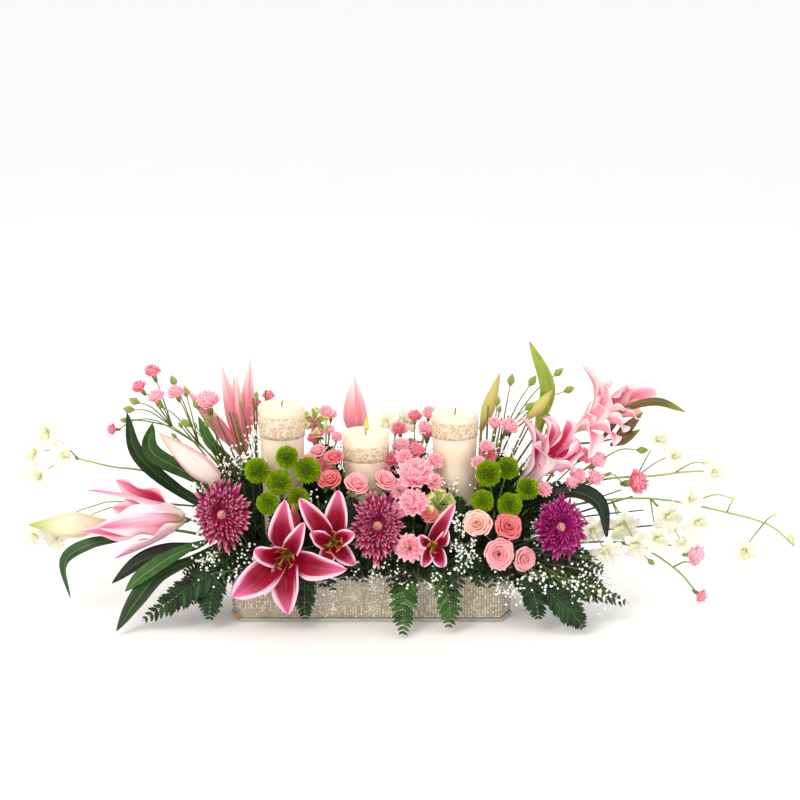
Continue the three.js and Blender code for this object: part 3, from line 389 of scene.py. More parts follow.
class Shader:
    """Builds one node material."""

    def __init__(self, name: str) -> None:
        """Starts an empty material of that name."""
        self.material = bpy.data.materials.new(name)
        self.material.use_nodes = True
        self.tree = self.material.node_tree
        self.tree.nodes.clear()

    def node(
        self, kind: str, settings: dict | None = None, sockets: dict | None = None, out: int | str = 0
    ) -> Socket:
        """Makes a node.

        Args:
            kind: the node's type.
            settings: its properties, which are set first.
            sockets: values or links of its inputs, by name or number.
            out: the output that is asked for, by name or number.

        Returns:
            That output.
        """
        made = self.tree.nodes.new(kind)
        for name, value in (settings or {}).items():
            setattr(made, name, value)
        for name, value in (sockets or {}).items():
            if isinstance(value, Socket):
                self.tree.links.new(value.out, made.inputs[name])
            else:
                made.inputs[name].default_value = (*ink(value), 1.0) if isinstance(value, str) else value
        return Socket(self, made.outputs[out])

    def math(self, operation: str, *values: Number) -> Socket:
        """A Math node on up to three values."""
        return self.node("ShaderNodeMath", {"operation": operation}, dict(enumerate(values)))

    def blend(self, share: Number, first: Colour, second: Colour) -> Socket:
        """A colour a share of the way from first to second."""
        kind = {"data_type": "RGBA", "clamp_factor": True}
        return self.node("ShaderNodeMix", kind, {0: share, 6: first, 7: second}, 2)

    def bands(
        self, t: Socket, low: Colour, low_end: float, body: Colour, high_start: float, high: Colour
    ) -> Socket:
        """Three colours that follow each other as t goes from 0 to 1."""
        return self.blend(t.step(high_start, 1.0), self.blend(t.step(0.0, low_end), low, body), high)

    def scaled(self, colour: Colour, factor: Number) -> Socket:
        """A colour times a factor."""
        return self.node("ShaderNodeVectorMath", {"operation": "SCALE"}, {0: colour, "Scale": factor})

    def vector(self, x: Number, y: Number, z: Number = 0.0) -> Socket:
        """Three values as a vector."""
        return self.node("ShaderNodeCombineXYZ", None, {0: x, 1: y, 2: z})

    def split(self, vector: Socket) -> tuple[Socket, Socket, Socket]:
        """The three values of a vector."""
        first = self.node("ShaderNodeSeparateXYZ", None, {0: vector})
        return tuple(Socket(self, out) for out in first.out.node.outputs)

    def along(self) -> tuple[Socket, Socket]:
        """Where a point lies on its petal or leaf: across it and along it, each from 0 to 1."""
        return self.split(self.node("ShaderNodeUVMap", {"uv_map": "UVMap"}))[:2]

    def space(self) -> Socket:
        """Object coordinates, in metres."""
        return self.node("ShaderNodeTexCoord", out="Object")

    def chance(self) -> Socket:
        """A number from 0 to 1 that differs from petal to petal."""
        return self.node("ShaderNodeNewGeometry", out="Random Per Island")

    def noise(self, vector: Socket, scale: float, detail: float = 2.0) -> Socket:
        """Soft noise from 0 to 1."""
        return self.node("ShaderNodeTexNoise", None, {"Vector": vector, "Scale": scale, "Detail": detail})

    def cells(self, vector: Socket, scale: float) -> Socket:
        """How far a point lies from the middle of its cell."""
        return self.node("ShaderNodeTexVoronoi", None, {"Vector": vector, "Scale": scale}, "Distance")

    def bump(self, height: Socket, strength: float, distance: float) -> Socket:
        """A Normal from a height, distance in metres."""
        sockets = {"Height": height, "Strength": strength, "Distance": distance}
        return self.node("ShaderNodeBump", None, sockets)

    def finish(self, **sockets: object) -> bpy.types.Material:
        """Ends the material with a Principled BSDF whose inputs are given with _ for each space."""
        named = {name.replace("_", " "): value for name, value in sockets.items()}
        surface = self.node("ShaderNodeBsdfPrincipled", None, named)
        end = self.tree.nodes.new("ShaderNodeOutputMaterial")
        self.tree.links.new(surface.out, end.inputs["Surface"])
        return self.material


# ------------------------------------------------------------------ finishes
@dataclass(frozen=True)
class Finish:
    """A surface finish; the ones below say what it is.

    Attributes:
        name: its material's name.
    """

    name: str

    def make(self) -> bpy.types.Material:
        """The material, made once."""
        return bpy.data.materials.get(self.name) or self.dress(Shader(self.name))

    def dress(self, shader: Shader) -> bpy.types.Material:
        """Builds its nodes."""
        raise NotImplementedError


@dataclass(frozen=True)
class Petal(Finish):
    """A petal: colours along it and towards its margin, with veins and spots.

    Attributes:
        foot, heart, tip, margin: its colours along its length and at its margin.
        edge, margin_share: where the margin's colour begins, and how much of it shows.
        foot_end, tip_start: where the foot's colour ends and the tip's begins.
        veins, spots: how strong the lengthwise veins and the freckles near the foot are.
        spread: how much further in the margin's colour reaches near the tip.
        glow: the strength of a painted glow, emission that stands in for light coming through from behind.
        vary, rough: how much petals differ in brightness, and their roughness.
    """

    foot: str = "e8f0c0"
    heart: str = "d04070"
    tip: str = "e080a0"
    margin: str = "f8d8e0"
    edge: float = 0.6
    margin_share: float = 0.8
    foot_end: float = 0.25
    tip_start: float = 0.8
    veins: float = 0.2
    spots: float = 0.0
    spread: float = 0.12
    glow: float = 0.1
    vary: float = 0.25
    rough: float = 0.45

    def dress(self, shader: Shader) -> bpy.types.Material:
        """Builds its nodes."""
        across, along = shader.along()
        chance = shader.chance()
        out = abs(across * 2.0 - 1.0)
        strand = shader.vector(across * 16.0, along * 1.6, chance * 40.0)
        vein = shader.noise(strand, 1.6, 3.0)
        mottle = shader.noise(shader.space(), 140.0)
        colour = shader.bands(along, self.foot, self.foot_end, self.heart, self.tip_start, self.tip)
        near = out + (vein - 0.5) * 0.35 + (along - 0.5) * self.spread
        colour = shader.blend(near.step(self.edge, self.edge + 0.34) * self.margin_share, colour, self.margin)
        if self.spots:
            dots = shader.cells(shader.vector(across * 7.0, along * 17.0, chance * 9.0), 1.0)
            here = dots.step(0.3, 0.14) * along.step(0.62, 0.35) * out.step(0.8, 0.55)
            colour = shader.blend(here * self.spots, colour, shader.scaled(colour, 0.35))
        shade = 1.0 + (vein - 0.5) * (2.0 * self.veins) + (chance - 0.5) * self.vary + (mottle - 0.5) * 0.12
        # middle is 0 on the petal's midline; the base colour is a little darker there, painted shade in the
        # groove that the bump also sinks.
        middle = out.step(0.0, 0.16)
        return shader.finish(
            Base_Color=shader.scaled(colour, shade * (0.9 + middle * 0.1)),
            # Emission: a painted glow that stands in for light coming through the petal.
            Emission_Color=shader.scaled(colour, shade * self.glow),
            Emission_Strength=1.0,
            Roughness=self.rough + (vein - 0.5) * 0.2,
            Normal=shader.bump(vein + middle * 0.6, 0.35, 0.0006),
            Specular_IOR_Level=0.22,
        )


@dataclass(frozen=True)
class Leaf(Finish):
    """A leaf: parallel or side veins, a pale midrib, and lighter patches.

    Attributes:
        dark, light, rib: its two greens and its midrib's.
        side_veins: how many pairs of side veins, or 0 for parallel veins.
        rough, vary: its roughness, and how much leaves differ in brightness.
    """

    dark: str = "14240c"
    light: str = "3c6420"
    rib: str = "7c9a50"
    side_veins: float = 0.0
    rough: float = 0.42
    vary: float = 0.5

    def dress(self, shader: Shader) -> bpy.types.Material:
        """Builds its nodes."""
        across, along = shader.along()
        chance = shader.chance()
        out = abs(across * 2.0 - 1.0)
        mottle = shader.noise(shader.space(), 60.0, 3.0)
        if self.side_veins:
            wave = shader.math("SINE", (along * self.side_veins - out * 1.6) * 6.283)
            vein = wave * 0.5 + 0.5
        else:
            vein = shader.noise(shader.vector(across * 22.0, along * 1.2, chance * 30.0), 1.5, 3.0)
        share = mottle * 0.7 + vein * 0.35 + chance * 0.3 - 0.2
        colour = shader.blend(share.step(0.1, 0.85), self.dark, self.light)
        colour = shader.blend(out.step(0.12, 0.02) * 0.55, colour, self.rib)
        return shader.finish(
            Base_Color=shader.scaled(colour, 1.0 + (chance - 0.5) * self.vary),
            Roughness=self.rough + (mottle - 0.5) * 0.25,
            Specular_IOR_Level=0.35,
            Normal=shader.bump(vein + out.step(0.0, 0.2), 0.4, 0.0008),
        )


@dataclass(frozen=True)
class Stalk(Finish):
    """A stem: one green going to another along it, with fine lengthwise grain.

    Attributes:
        low, high, rough: the colours near the foam and at the far end, and its roughness.
    """

    low: str = "2a3d18"
    high: str = "5a7a30"
    rough: float = 0.5

    def dress(self, shader: Shader) -> bpy.types.Material:
        """Builds its nodes."""
        around, along = shader.along()
        grain = shader.noise(shader.vector(around * 9.0, along * 3.0, shader.chance() * 20.0), 2.0, 3.0)
        patch = shader.noise(shader.space(), 45.0)
        colour = shader.blend(along + (patch - 0.5) * 0.7, self.low, self.high)
        return shader.finish(
            Base_Color=shader.scaled(colour, 0.75 + grain * 0.5),
            Roughness=self.rough + (patch - 0.5) * 0.2,
            Normal=shader.bump(grain, 0.3, 0.0004),
        )


@dataclass(frozen=True)
class Bud(Finish):
    """A closed bud: green at the foot, its own colour further up, with sutures between its sepals.

    Attributes:
        foot, body, tip: its colours along its length.
        foot_end, tip_start: where they change.
        lobes, suture: how many sutures it has, and their colour.
        glow: the strength of a painted glow, emission that stands in for light coming through from behind.
    """

    foot: str = "9aa860"
    body: str = "f0c8c8"
    tip: str = "e8b0b8"
    foot_end: float = 0.3
    tip_start: float = 0.7
    lobes: int = 3
    suture: str = "d86a88"
    glow: float = 0.1

    def dress(self, shader: Shader) -> bpy.types.Material:
        """Builds its nodes."""
        around, along = shader.along()
        grain = shader.noise(shader.vector(around * 22.0, along * 2.0, shader.chance() * 9.0), 1.5, 3.0)
        colour = shader.bands(along, self.foot, self.foot_end, self.body, self.tip_start, self.tip)
        line = shader.math("COSINE", around * (6.2832 * self.lobes)) * -0.5 + 0.5
        colour = shader.blend(line.step(0.7, 1.0) * 0.6, colour, self.suture)
        streak = shader.noise(shader.vector(around * 34.0, along * 1.2, shader.chance() * 5.0), 1.2, 2.0)
        colour = shader.blend((streak.step(0.5, 0.75)) * 0.35, colour, self.tip)
        return shader.finish(
            Base_Color=shader.scaled(colour, 0.8 + grain * 0.4),
            # Emission: a painted glow that stands in for light coming through the bud.
            Emission_Color=shader.scaled(colour, grain * self.glow),
            Emission_Strength=1.0,
            Specular_IOR_Level=0.3,
            Roughness=0.38 + grain * 0.2,
            Normal=shader.bump(grain - line.step(0.8, 1.0), 0.35, 0.0007),
        )


@dataclass(frozen=True)
class Grain(Finish):
    """A plain stuff with grain: foam, wick, pollen, liner or wood.

    Attributes:
        dark, light: its two colours.
        scale, height: how fine the grain is, per metre, and how deep it stands, in metres.
        rough, metal: its roughness, and how metallic it is.
        streak, pits: how much the grain is drawn out along X, and whether it is open cells.
    """

    dark: str = "203018"
    light: str = "4a6a3a"
    scale: float = 300.0
    rough: float = 0.8
    metal: float = 0.0
    height: float = 0.0006
    streak: float = 1.0
    pits: bool = False

    def dress(self, shader: Shader) -> bpy.types.Material:
        """Builds its nodes."""
        x, y, z = shader.split(shader.space())
        place = shader.vector(x * (1.0 / self.streak), y, z)
        fine = shader.cells(place, self.scale) if self.pits else shader.noise(place, self.scale, 4.0)
        wide = shader.noise(place, self.scale / 12.0, 3.0)
        share = fine * 0.6 + wide * 0.6
        return shader.finish(
            Base_Color=shader.blend(share.step(0.25, 0.95), self.dark, self.light),
            Roughness=self.rough + (wide - 0.5) * 0.25,
            Metallic=self.metal,
            Normal=shader.bump(fine, 0.5, self.height),
        )


@dataclass(frozen=True)
class Wax(Finish):
    """Ivory wax, warmer near the top, with a faint painted glow that grows stronger near the top.

    Attributes:
        top, glow: the rim's height, in metres, and the strength of the painted glow near the top that stands
            in for the flame shining through.
    """

    top: float = 0.3
    glow: float = 0.1

    def dress(self, shader: Shader) -> bpy.types.Material:
        """Builds its nodes."""
        x, y, z = shader.split(shader.space())
        cloud = shader.noise(shader.space(), 26.0, 4.0)
        bloom = shader.noise(shader.vector(x * 1.0, y * 1.0, z * 0.35), 120.0, 4.0)
        high = (z - (self.top - 0.05)) * 20.0
        warm = high.step(-0.6, 1.0)
        colour = shader.blend(cloud.step(0.3, 0.75), "e6d0b4", "f4e6d2")
        colour = shader.blend(warm * 0.5, colour, "f8e8d0")
        # A painted glow: faint all over the wax and stronger near the top, where it stands in for the flame's
        # light through the wax.
        painted_glow = shader.scaled(ink("ffdcb8"), warm * self.glow + 0.07)
        return shader.finish(
            Base_Color=shader.scaled(colour, 0.93 + bloom * 0.1),
            Roughness=0.34 + bloom * 0.22,
            Emission_Color=painted_glow,
            Emission_Strength=1.0,
            Subsurface_Weight=0.25,
            Subsurface_Radius=(0.012, 0.008, 0.005),
            Subsurface_Scale=1.0,
            Normal=shader.bump(bloom + cloud, 0.18, 0.0008),
        )


@dataclass(frozen=True)
class Lace(Finish):
    """Ivory lace with open cells that show the wax behind."""

    def dress(self, shader: Shader) -> bpy.types.Material:
        """Builds its nodes."""
        cell = shader.cells(shader.space(), 210.0)
        thread = shader.noise(shader.space(), 900.0, 3.0)
        net = cell.step(0.34, 0.6)
        colour = shader.blend(net, "d8bc98", "f0dfc8")
        return shader.finish(
            Base_Color=shader.scaled(colour, 0.85 + thread * 0.25),
            Roughness=0.75 + thread * 0.15,
            Normal=shader.bump(net + thread * 0.4, 0.6, 0.0008),
        )


@dataclass(frozen=True)
class Bead(Finish):
    """Small metallic beads, each with its own tone.

    Attributes:
        dark, light, rough: the two ends of their tones, and their roughness.
    """

    dark: str = "8f8066"
    light: str = "f4ead6"
    rough: float = 0.2

    def dress(self, shader: Shader) -> bpy.types.Material:
        """Builds its nodes."""
        chance = shader.chance()
        dust = shader.noise(shader.space(), 900.0)
        patch = shader.noise(shader.space(), 22.0, 3.0)
        share = chance * 0.75 + patch * 0.5 - 0.1
        colour = shader.blend(share.step(0.05, 0.95), self.dark, self.light)
        return shader.finish(
            Base_Color=shader.scaled(colour, 0.9 + dust * 0.2),
            Roughness=self.rough + dust * 0.2,
            Metallic=0.45 + (patch - 0.5) * 0.3,
            Normal=shader.bump(dust, 0.2, 0.0002),
        )


@dataclass(frozen=True)
class Flame(Finish):
    """A candle flame, blue-dark at the foot and pale yellow above."""

    def dress(self, shader: Shader) -> bpy.types.Material:
        """Builds its nodes."""
        around, along = shader.along()
        waver = shader.noise(shader.vector(around * 3.0, along * 3.0), 2.0)
        colour = shader.bands(along, "d0702a", 0.3, "ffd870", 0.6, "ff9a2a")
        return shader.finish(
            Base_Color="2a1606",
            Roughness=0.9,
            Emission_Color=shader.scaled(colour, 0.9 + waver * 0.3),
            Emission_Strength=1.1,
        )


LILY_FACE = Petal(
    "stargazer_face", "c0c870", "8c0428", "d4608a", "f7c8da", edge=0.68, spread=0.62,
    margin_share=0.95, foot_end=0.16, tip_start=0.62, veins=0.4, spots=0.85, vary=0.16, rough=0.36,
)
LILY_BACK = Petal(
    "stargazer_reverse", "b8c878", "d8718f", "c84a76", "f8dce6", edge=0.35,
    margin_share=0.85, foot_end=0.3, veins=0.25, vary=0.15,
)
PINK_FACE = Petal(
    "pink_lily_face", "d0d880", "cc2c60", "ee94aa", "fad2da", edge=0.5, spread=0.4,
    margin_share=0.9, foot_end=0.14, tip_start=0.5, veins=0.35, spots=0.6, vary=0.2,
)
PINK_BACK = Petal(
    "pink_lily_reverse", "c4cc84", "efb4c4", "de6c90", "f9e6ea", edge=0.3,
    margin_share=0.85, foot_end=0.3, tip_start=0.6, veins=0.35, vary=0.25,
)
PINK_BUD = Bud(
    "pink_lily_bud", "b07460", "f0929e", "fde6de", foot_end=0.3, tip_start=0.45, suture="d86480",
)
BLUSH_FACE = Petal(
    "blush_lily_face", "d0d880", "e47890", "f6b6c0", "fcdcde", edge=0.4, spread=0.4,
    margin_share=0.9, foot_end=0.14, tip_start=0.4, veins=0.35, spots=0.5, vary=0.2, glow=0.16,
)
BLUSH_BACK = Petal(
    "blush_lily_reverse", "c0c880", "f0a4b2", "ec8ea2", "fbdfe0", edge=0.4,
    margin_share=0.85, foot_end=0.3, veins=0.35, vary=0.25, glow=0.16,
)
CREAM_BUD = Bud(
    "cream_lily_bud", "a8ae68", "ece0c2", "a8b440", foot_end=0.25, tip_start=0.55, suture="dcc8a0",
)
BLUSH_BUD = Bud("blush_lily_bud", "a4a860", "f0d8ce", "d8b494", suture="d87c94")
RED_BUD = Bud("red_lily_bud", "8a9a48", "b83850", "d8a468", suture="8c1438")
POD = Bud("brown_pod", "4c4a20", "6c5a30", "8ea634", suture="4a2c18")
GREEN_BUD = Bud("green_lily_bud", "8f9a40", "c4c268", "b8a860", suture="d8a080")
SMALL_BUD = Bud("small_bud", "66852c", "86a03a", "f2a0b4", foot_end=0.2, lobes=5, suture="5c7a28")
ANTHER = Grain("anther", "a04408", "e08a24", scale=900.0)
STYLE = Stalk("style", "c8b040", "e88c3c")
STALK = Stalk("stalk")
PALE_STALK = Stalk("pale_stalk", "3c5420", "94a84a")
ORCHID_STALK = Stalk("orchid_stalk", "5c7c2c", "b4c464")
# DARK_LEAF, FERN_LEAF and FILL_LEAF have near-black greens: partly the leaves' own deep colour, partly
# painted shade among the blooms.
DARK_LEAF = Leaf("dark_leaf", "060f04", "1e3a10", "4c6c34")
MID_LEAF = Leaf("mid_leaf", "12280c", "3e6e28", "7e9c58")
PALE_LEAF = Leaf("pale_leaf", "64882a", "acbc4c", "b8c068")
FERN_LEAF = Leaf("fern_leaf", "061004", "1e4414", "3c6428", side_veins=7.0, vary=0.7)
# A lighter, lit copy of the fern finish for the front-middle fronds: painted light on the fronds that catch
# it.
FERN_LIT = Leaf("fern_lit", "0e2408", "3c7020", "6c9440", side_veins=7.0, vary=0.6)
FILL_LEAF = Leaf("fill_leaf", "040a03", "142a0c", "2c481a", side_veins=5.0, vary=0.9)
MUM_RAY = Petal(
    "mum_ray", "5a0028", "8c0440", "e898b4", "b03468", edge=0.7, margin_share=0.4,
    foot_end=0.3, tip_start=0.76, veins=0.3, vary=0.6,
)
MUM_VIVID = Petal(
    "mum_ray_vivid", "5c0040", "96045c", "d468a8", "b02c80", edge=0.7, margin_share=0.4,
    foot_end=0.3, tip_start=0.8, veins=0.3, vary=0.6,
)
MUM_EYE = Petal("mum_eye", "b8688c", "e8b4a8", "f4dcb4", "f0bcc4", vary=0.4, glow=0.28)
# The buttons' dark foot and pale tip are partly their own greens, partly painted shade between the rays and
# painted highlight on their ends.
POM_RAY = Petal(
    "pom_ray", "3c5002", "86a606", "bcd034", "a8c220", edge=0.7, margin_share=0.4,
    foot_end=0.5, tip_start=0.66, veins=0.15, vary=0.5, glow=0.08,
)
# The pink and cream roses' feet are darker than their hearts: partly the petals' own deeper base, partly
# painted shade deep in the bloom.
ROSE_PINK = Petal(
    "rose_pink", "d08070", "ee8a98", "f9bec2", "fcdcd8", edge=0.7, margin_share=0.4,
    foot_end=0.35, tip_start=0.8, veins=0.1, vary=0.22, rough=0.5, glow=0.12,
)
ROSE_CREAM = Petal(
    "rose_cream", "d87880", "f09494", "f9d8c8", "faead8", edge=0.6, margin_share=0.6,
    foot_end=0.4, tip_start=0.8, veins=0.1, vary=0.22, rough=0.5, glow=0.12,
)
ROSE_CORAL = Petal(
    "rose_coral", "e8b080", "dc5464", "f29494", "f6aca8", edge=0.75, margin_share=0.4,
    foot_end=0.3, tip_start=0.8, veins=0.12, vary=0.22, rough=0.5,
)
# The carnations' darker feet and paler tips are partly their own colour, partly painted shade deep in the
# bloom and painted highlight on the rims.
CARNATION_PINK = Petal(
    "carnation_pink", "d06a7c", "f2a2b2", "fbd0d8", "ffe8ee", edge=0.4,
    margin_share=0.55, foot_end=0.5, tip_start=0.62, veins=0.25, vary=0.22, rough=0.6, glow=0.17,
)
CARNATION_DEEP = Petal(
    "carnation_deep", "bc4860", "e87e92", "f6aebb", "fac8d2", edge=0.5,
    margin_share=0.5, foot_end=0.5, tip_start=0.62, veins=0.25, vary=0.3, rough=0.6, glow=0.13,
)
ORCHID_WHITE = Petal(
    "orchid_white", "c4cc88", "eee8d6", "f4efe4", "f8f4ec", edge=0.5, margin_share=0.7,
    foot_end=0.3, tip_start=0.7, veins=0.2, vary=0.14, rough=0.45, glow=0.08,
)
ORCHID_LIP = Petal("orchid_lip", "b8bc60", "dcd9ac", "ebe5cc", "f0ebd8", vary=0.1)
TRUMPET = Petal(
    "trumpet_green", "8a9a3c", "b4bc5c", "d8dc94", "e4e4b0", edge=0.5, vary=0.15, rough=0.4,
)
BREATH_WHITE = Petal(
    "breath_white", "f2f2e6", "fbfaf2", "ffffff", "ffffff", veins=0.1, vary=0.12,
)


# ------------------------------------------------------------------ pieces
class Piece(Clump):
    """A clump that becomes one named object of the model."""

    def __init__(self, name: str, *finishes: Finish) -> None:
        """Starts a piece.

        Args:
            name: the object's name.
            finishes: its materials, in the order of its slots.
        """
        super().__init__()
        self.name, self.finishes = name, finishes

    def show(self, slot: str, replaces: Iterable[str] = (), thick: float = 0.0, reverse: int = 0) -> None:
        """Turns the gathered parts into an object that rides on the root body.

        Args:
            slot: the record's material slot; not used.
            replaces: the CAD nodes it stands for.
            thick: thickness given to its sheets, in millimetres, or 0 for none.
            reverse: how many material slots further on the sheets' undersides are.
        """
        self.move(Matrix.Scale(MM, 4))
        mesh = bpy.data.meshes.new(self.name)
        self.whole.to_mesh(mesh)
        self.whole.free()
        piece = linked(self.name, mesh)
        for finish in self.finishes:
            mesh.materials.append(finish.make())
        if thick:
            solid = piece.modifiers.new("thickness", "SOLIDIFY")
            solid.thickness, solid.offset = thick * MM, -1.0
            solid.material_offset = reverse
            solid.material_offset_rim = 0
        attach(piece, "root")
        if replaces:
            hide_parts(*replaces)
        log.info("%s: %d faces", self.name, len(mesh.polygons))


def linked(name: str, data: bpy.types.ID) -> bpy.types.Object:
    """A new object of that name, linked to the scene."""
    made = bpy.data.objects.new(name, data)
    bpy.context.scene.collection.objects.link(made)
    return made


def keep(node: str, finish: Finish) -> None:
    """Gives a CAD node that stays in view its finish."""
    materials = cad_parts[node].data.materials
    materials.clear()
    materials.append(finish.make())
    log.info("%s: kept", node)


# ------------------------------------------------------------------ blooms
@dataclass(frozen=True)
class Lily:
    """An open lily.

    Attributes:
        base, axis: where its petals spring from, and the direction it faces.
        tips: the petals' tips, each with the petal's width.
        reach, stamens: how far the stamens stand out, and how many there are.
        curl: how far the petals' tips turn back.
        bell: whether it has only begun to open.
        foot: the first two places of its own stem, if it has one.
    """

    base: Place
    axis: Place
    tips: tuple[Place, ...]
    reach: float = 46.0
    stamens: int = 6
    curl: float = 14.0
    bell: bool = False
    foot: tuple[Place, ...] = ()

    def petals(self) -> list[Blade]:
        """The petals' sheets, in order round the axis."""
        root, axis = Vector(self.base), Vector(self.axis).normalized()
        across = UP.cross(axis).normalized()
        upward = axis.cross(across)
        arms = [Vector(tip[:3]) - root for tip in self.tips]
        angles = [math.atan2(arm.dot(upward), arm.dot(across)) for arm in arms]
        order = sorted(range(len(arms)), key=angles.__getitem__)
        share = 2 * math.pi / len(arms)
        offset = sum(angles[i] - rank * share for rank, i in enumerate(order)) / len(arms)
        blades = []
        for rank, i in enumerate(order):
            angle = offset + rank * share
            start = across * math.cos(angle) + upward * math.sin(angle)
            tip, width = Vector(self.tips[i][:3]), self.tips[i][3]
            forward, inner = (tip - root).dot(axis), rank % 2 == 1
            away = tip - root - axis * forward
            spread = away.length
            ahead = 0.42 * forward if self.bell else max(forward, 0.45 * spread) + 0.12 * spread
            bend = root + axis * ahead + start * max(34.0 if self.bell else 16.0, 0.28 * spread)
            curl = axis * -self.curl + away.normalized() * 2
            rib = Rib.arc(root + start * 3 + axis * inner, bend, tip, curl)
            side = (tip - root).normalized().cross(axis)
            if side.length < 0.2:
                side = start.cross(axis)
            outline = Outline.BELL if self.bell else Outline.LILY_INNER if inner else Outline.LILY
            cup, ripple = 0.2 if self.bell else 0.42, 0.26 if inner else 0.18
            width *= 1.22 if inner else 1.12
            blades.append(Blade(
                rib, side.normalized(), width, outline, 10, 20, cup, ripple,
                waves=2.2, keel=0.24, turn=1.7 * rank,
            ))
        return blades

    def carve(self, into: Clump, rng: random.Random) -> None:
        """Adds the bloom: petals in slots 0 and 1, green in 2, anthers in 3 and the style in 4."""
        for blade in self.petals():
            into.add(blade, 0)
        root, axis = Vector(self.base), Vector(self.axis).normalized()
        seat = Rib.through(root - axis * 10, root - axis * 3, root + axis * 4)
        into.add(Sheath(seat, 5.0, bulb(1.1, 0.6), 10, 6), 2)
        across = axis.orthogonal().normalized()
        for k in range(self.stamens):
            lean = Matrix.Rotation(2 * math.pi * (k + rng.uniform(0.3, 0.7)) / self.stamens, 3, axis) @ across
            end = root + axis * self.reach * rng.uniform(0.9, 1.05) + lean * self.reach * 0.34 - UP * 2
            thread = Rib.arc(root, root + axis * self.reach * 0.6 + lean * 2, end)
            into.stem(thread, 0.9, 4, 5, 7, 0.7)
            over = lean.cross(axis).normalized()
            grain = Rib.through(end - over * 6, end + axis * 1.2, end + over * 6)
            into.add(Sheath(grain, 1.7, bulb(1.0, 0.5), 6, 6), 3)
        if self.stamens:
            tall = self.reach * 1.22
            pistil = Rib.arc(root, root + axis * tall * 0.6, root + axis * tall + across * 5 - UP * 4)
            into.stem(pistil, 1.2, 4, end=1.1)
            into.ball(pistil.at(1.0), 2.8, 2, 2)


@dataclass(frozen=True)
class ClosedBud:
    """A closed lily bud.

    Attributes:
        foot, tip: its two ends.
        radius, sag: its greatest radius, and how far its middle hangs.
    """

    foot: Place
    tip: Place
    radius: float
    sag: float = 3.0

    def carve(self, into: Clump, slot: int = 0) -> None:
        """Adds the bud."""
        rib = Rib.bow(self.foot, self.tip, UP * -self.sag)
        profile = lambda t: (0.34 + 0.66 * ease(t / 0.42)) * (1 - max(0.0, (t - 0.42) / 0.58) ** 1.6)
        closed = lambda t: profile(t) if 0 < t < 1 else 0.0
        into.add(Sheath(rib, self.radius, closed, 18, 22, lobes=3, groove=0.16), slot)


@dataclass(frozen=True)
class SpiderMum:
    """A spider chrysanthemum with narrow rolled rays.

    Attributes:
        centre, axis: its place and the direction it faces.
        wide, tall: half its size across and up.
        seed, rays: what its rays differ by, and how many it has.
    """

    centre: Place
    axis: Place
    wide: float
    tall: float
    seed: int
    rays: int = 230

    def carve(self, into: Clump) -> None:
        """Adds the bloom: rays in slot 0, its eye in slot 1 and its calyx in slot 2."""
        rng = random.Random(self.seed)
        head = Clump()
        for k in range(self.rays):
            f = k / self.rays
            angle = k * GOLDEN + rng.uniform(-0.08, 0.08)
            out = polar(angle)
            rim = self.wide * self.tall / math.hypot(self.tall * out.x, self.wide * out.y)
            reach = rim * mix(1.0, 0.34, f**0.9) * rng.uniform(0.88, 1.1)
            foot = out * mix(5, 8, f) + UP * mix(2, 10, f)
            lift = mix(6, 20, f) + rng.uniform(-2, 3)
            rise = mix(2, 25, f**0.7) + rng.uniform(-4, 4)
            hook = out * (-0.1 * reach * f) + UP * rng.uniform(0, 8) * (1 - f)
            rib = Rib.arc(foot, out * 0.55 * reach + UP * lift, out * reach + UP * rise, hook)
            side = out.cross(UP) + Vector([rng.uniform(-most, most) for most in (0.2, 0.2, 0.3)])
            width = mix(7.6, 4.4, f) * rng.uniform(0.85, 1.15)
            head.add(Blade(rib, side.normalized(), width, Outline.RAY, 2, 6, cup=0.95), 0)
        for k in range(90):
            reach = 7 * math.sqrt((k + 0.5) / 90)
            out = polar(k * GOLDEN)
            rib = Rib.through(out * reach + UP * 4, out * (reach + 0.8) + UP * (9 + 0.3 * reach))
            head.add(Blade(rib, out.cross(UP), 2.4, Outline.RAY, 1, 2, cup=0.6), 1)
        cup = Rib.through((0, 0, -8), (0, 0, -1), (0, 0, 6))
        head.add(Sheath(cup, 9.0, bulb(1.0, 0.5), 12, 6), 2)
        into.put(head, self)


@dataclass(frozen=True)
class Head:
    """A round bloom; the ones below say what it is.

    Attributes:
        centre, radius, axis: its place, its radius and the direction it faces.
        seed, cast: what its petals differ by, and their slot.
    """

    centre: Place
    radius: float
    axis: Place
    seed: float = 0
    cast: int = 0


class Button(Head):
    """A button chrysanthemum: a ball of short green rays."""

    def carve(self, into: Clump) -> None:
        """Adds the button: rays in slot 0, its core in slot 1."""
        rng = random.Random(self.seed)
        head, size, rays = Clump(), 1.1 * self.radius, 190
        for k in range(rays):
            height = 1 - 1.8 * (k + 0.5) / rays
            ring = math.sqrt(1 - height * height)
            out = polar(k * GOLDEN, ring, height)
            eye = ease((height - 0.82) / 0.18)
            reach = size * mix(1.06, 0.9, eye) * rng.uniform(0.94, 1.08)
            lean = (UP - out * height) * (0.14 * size * (1 - eye)) + UP * rng.uniform(-0.06, 0.06) * size
            rib = Rib.through(out * 0.55 * size, out * 0.85 * reach + lean * 0.2, out * reach + lean * 0.6)
            side = out.cross(UP + Vector((0.01, 0, 0))).normalized()
            width = size * mix(0.23, 0.16, eye)
            head.add(Blade(rib, side, width, Outline.RAY, 2, 3, cup=0.7), 0)
        head.ball(Vector(), 0.66 * size, 1, 2)
        into.put(head, self)


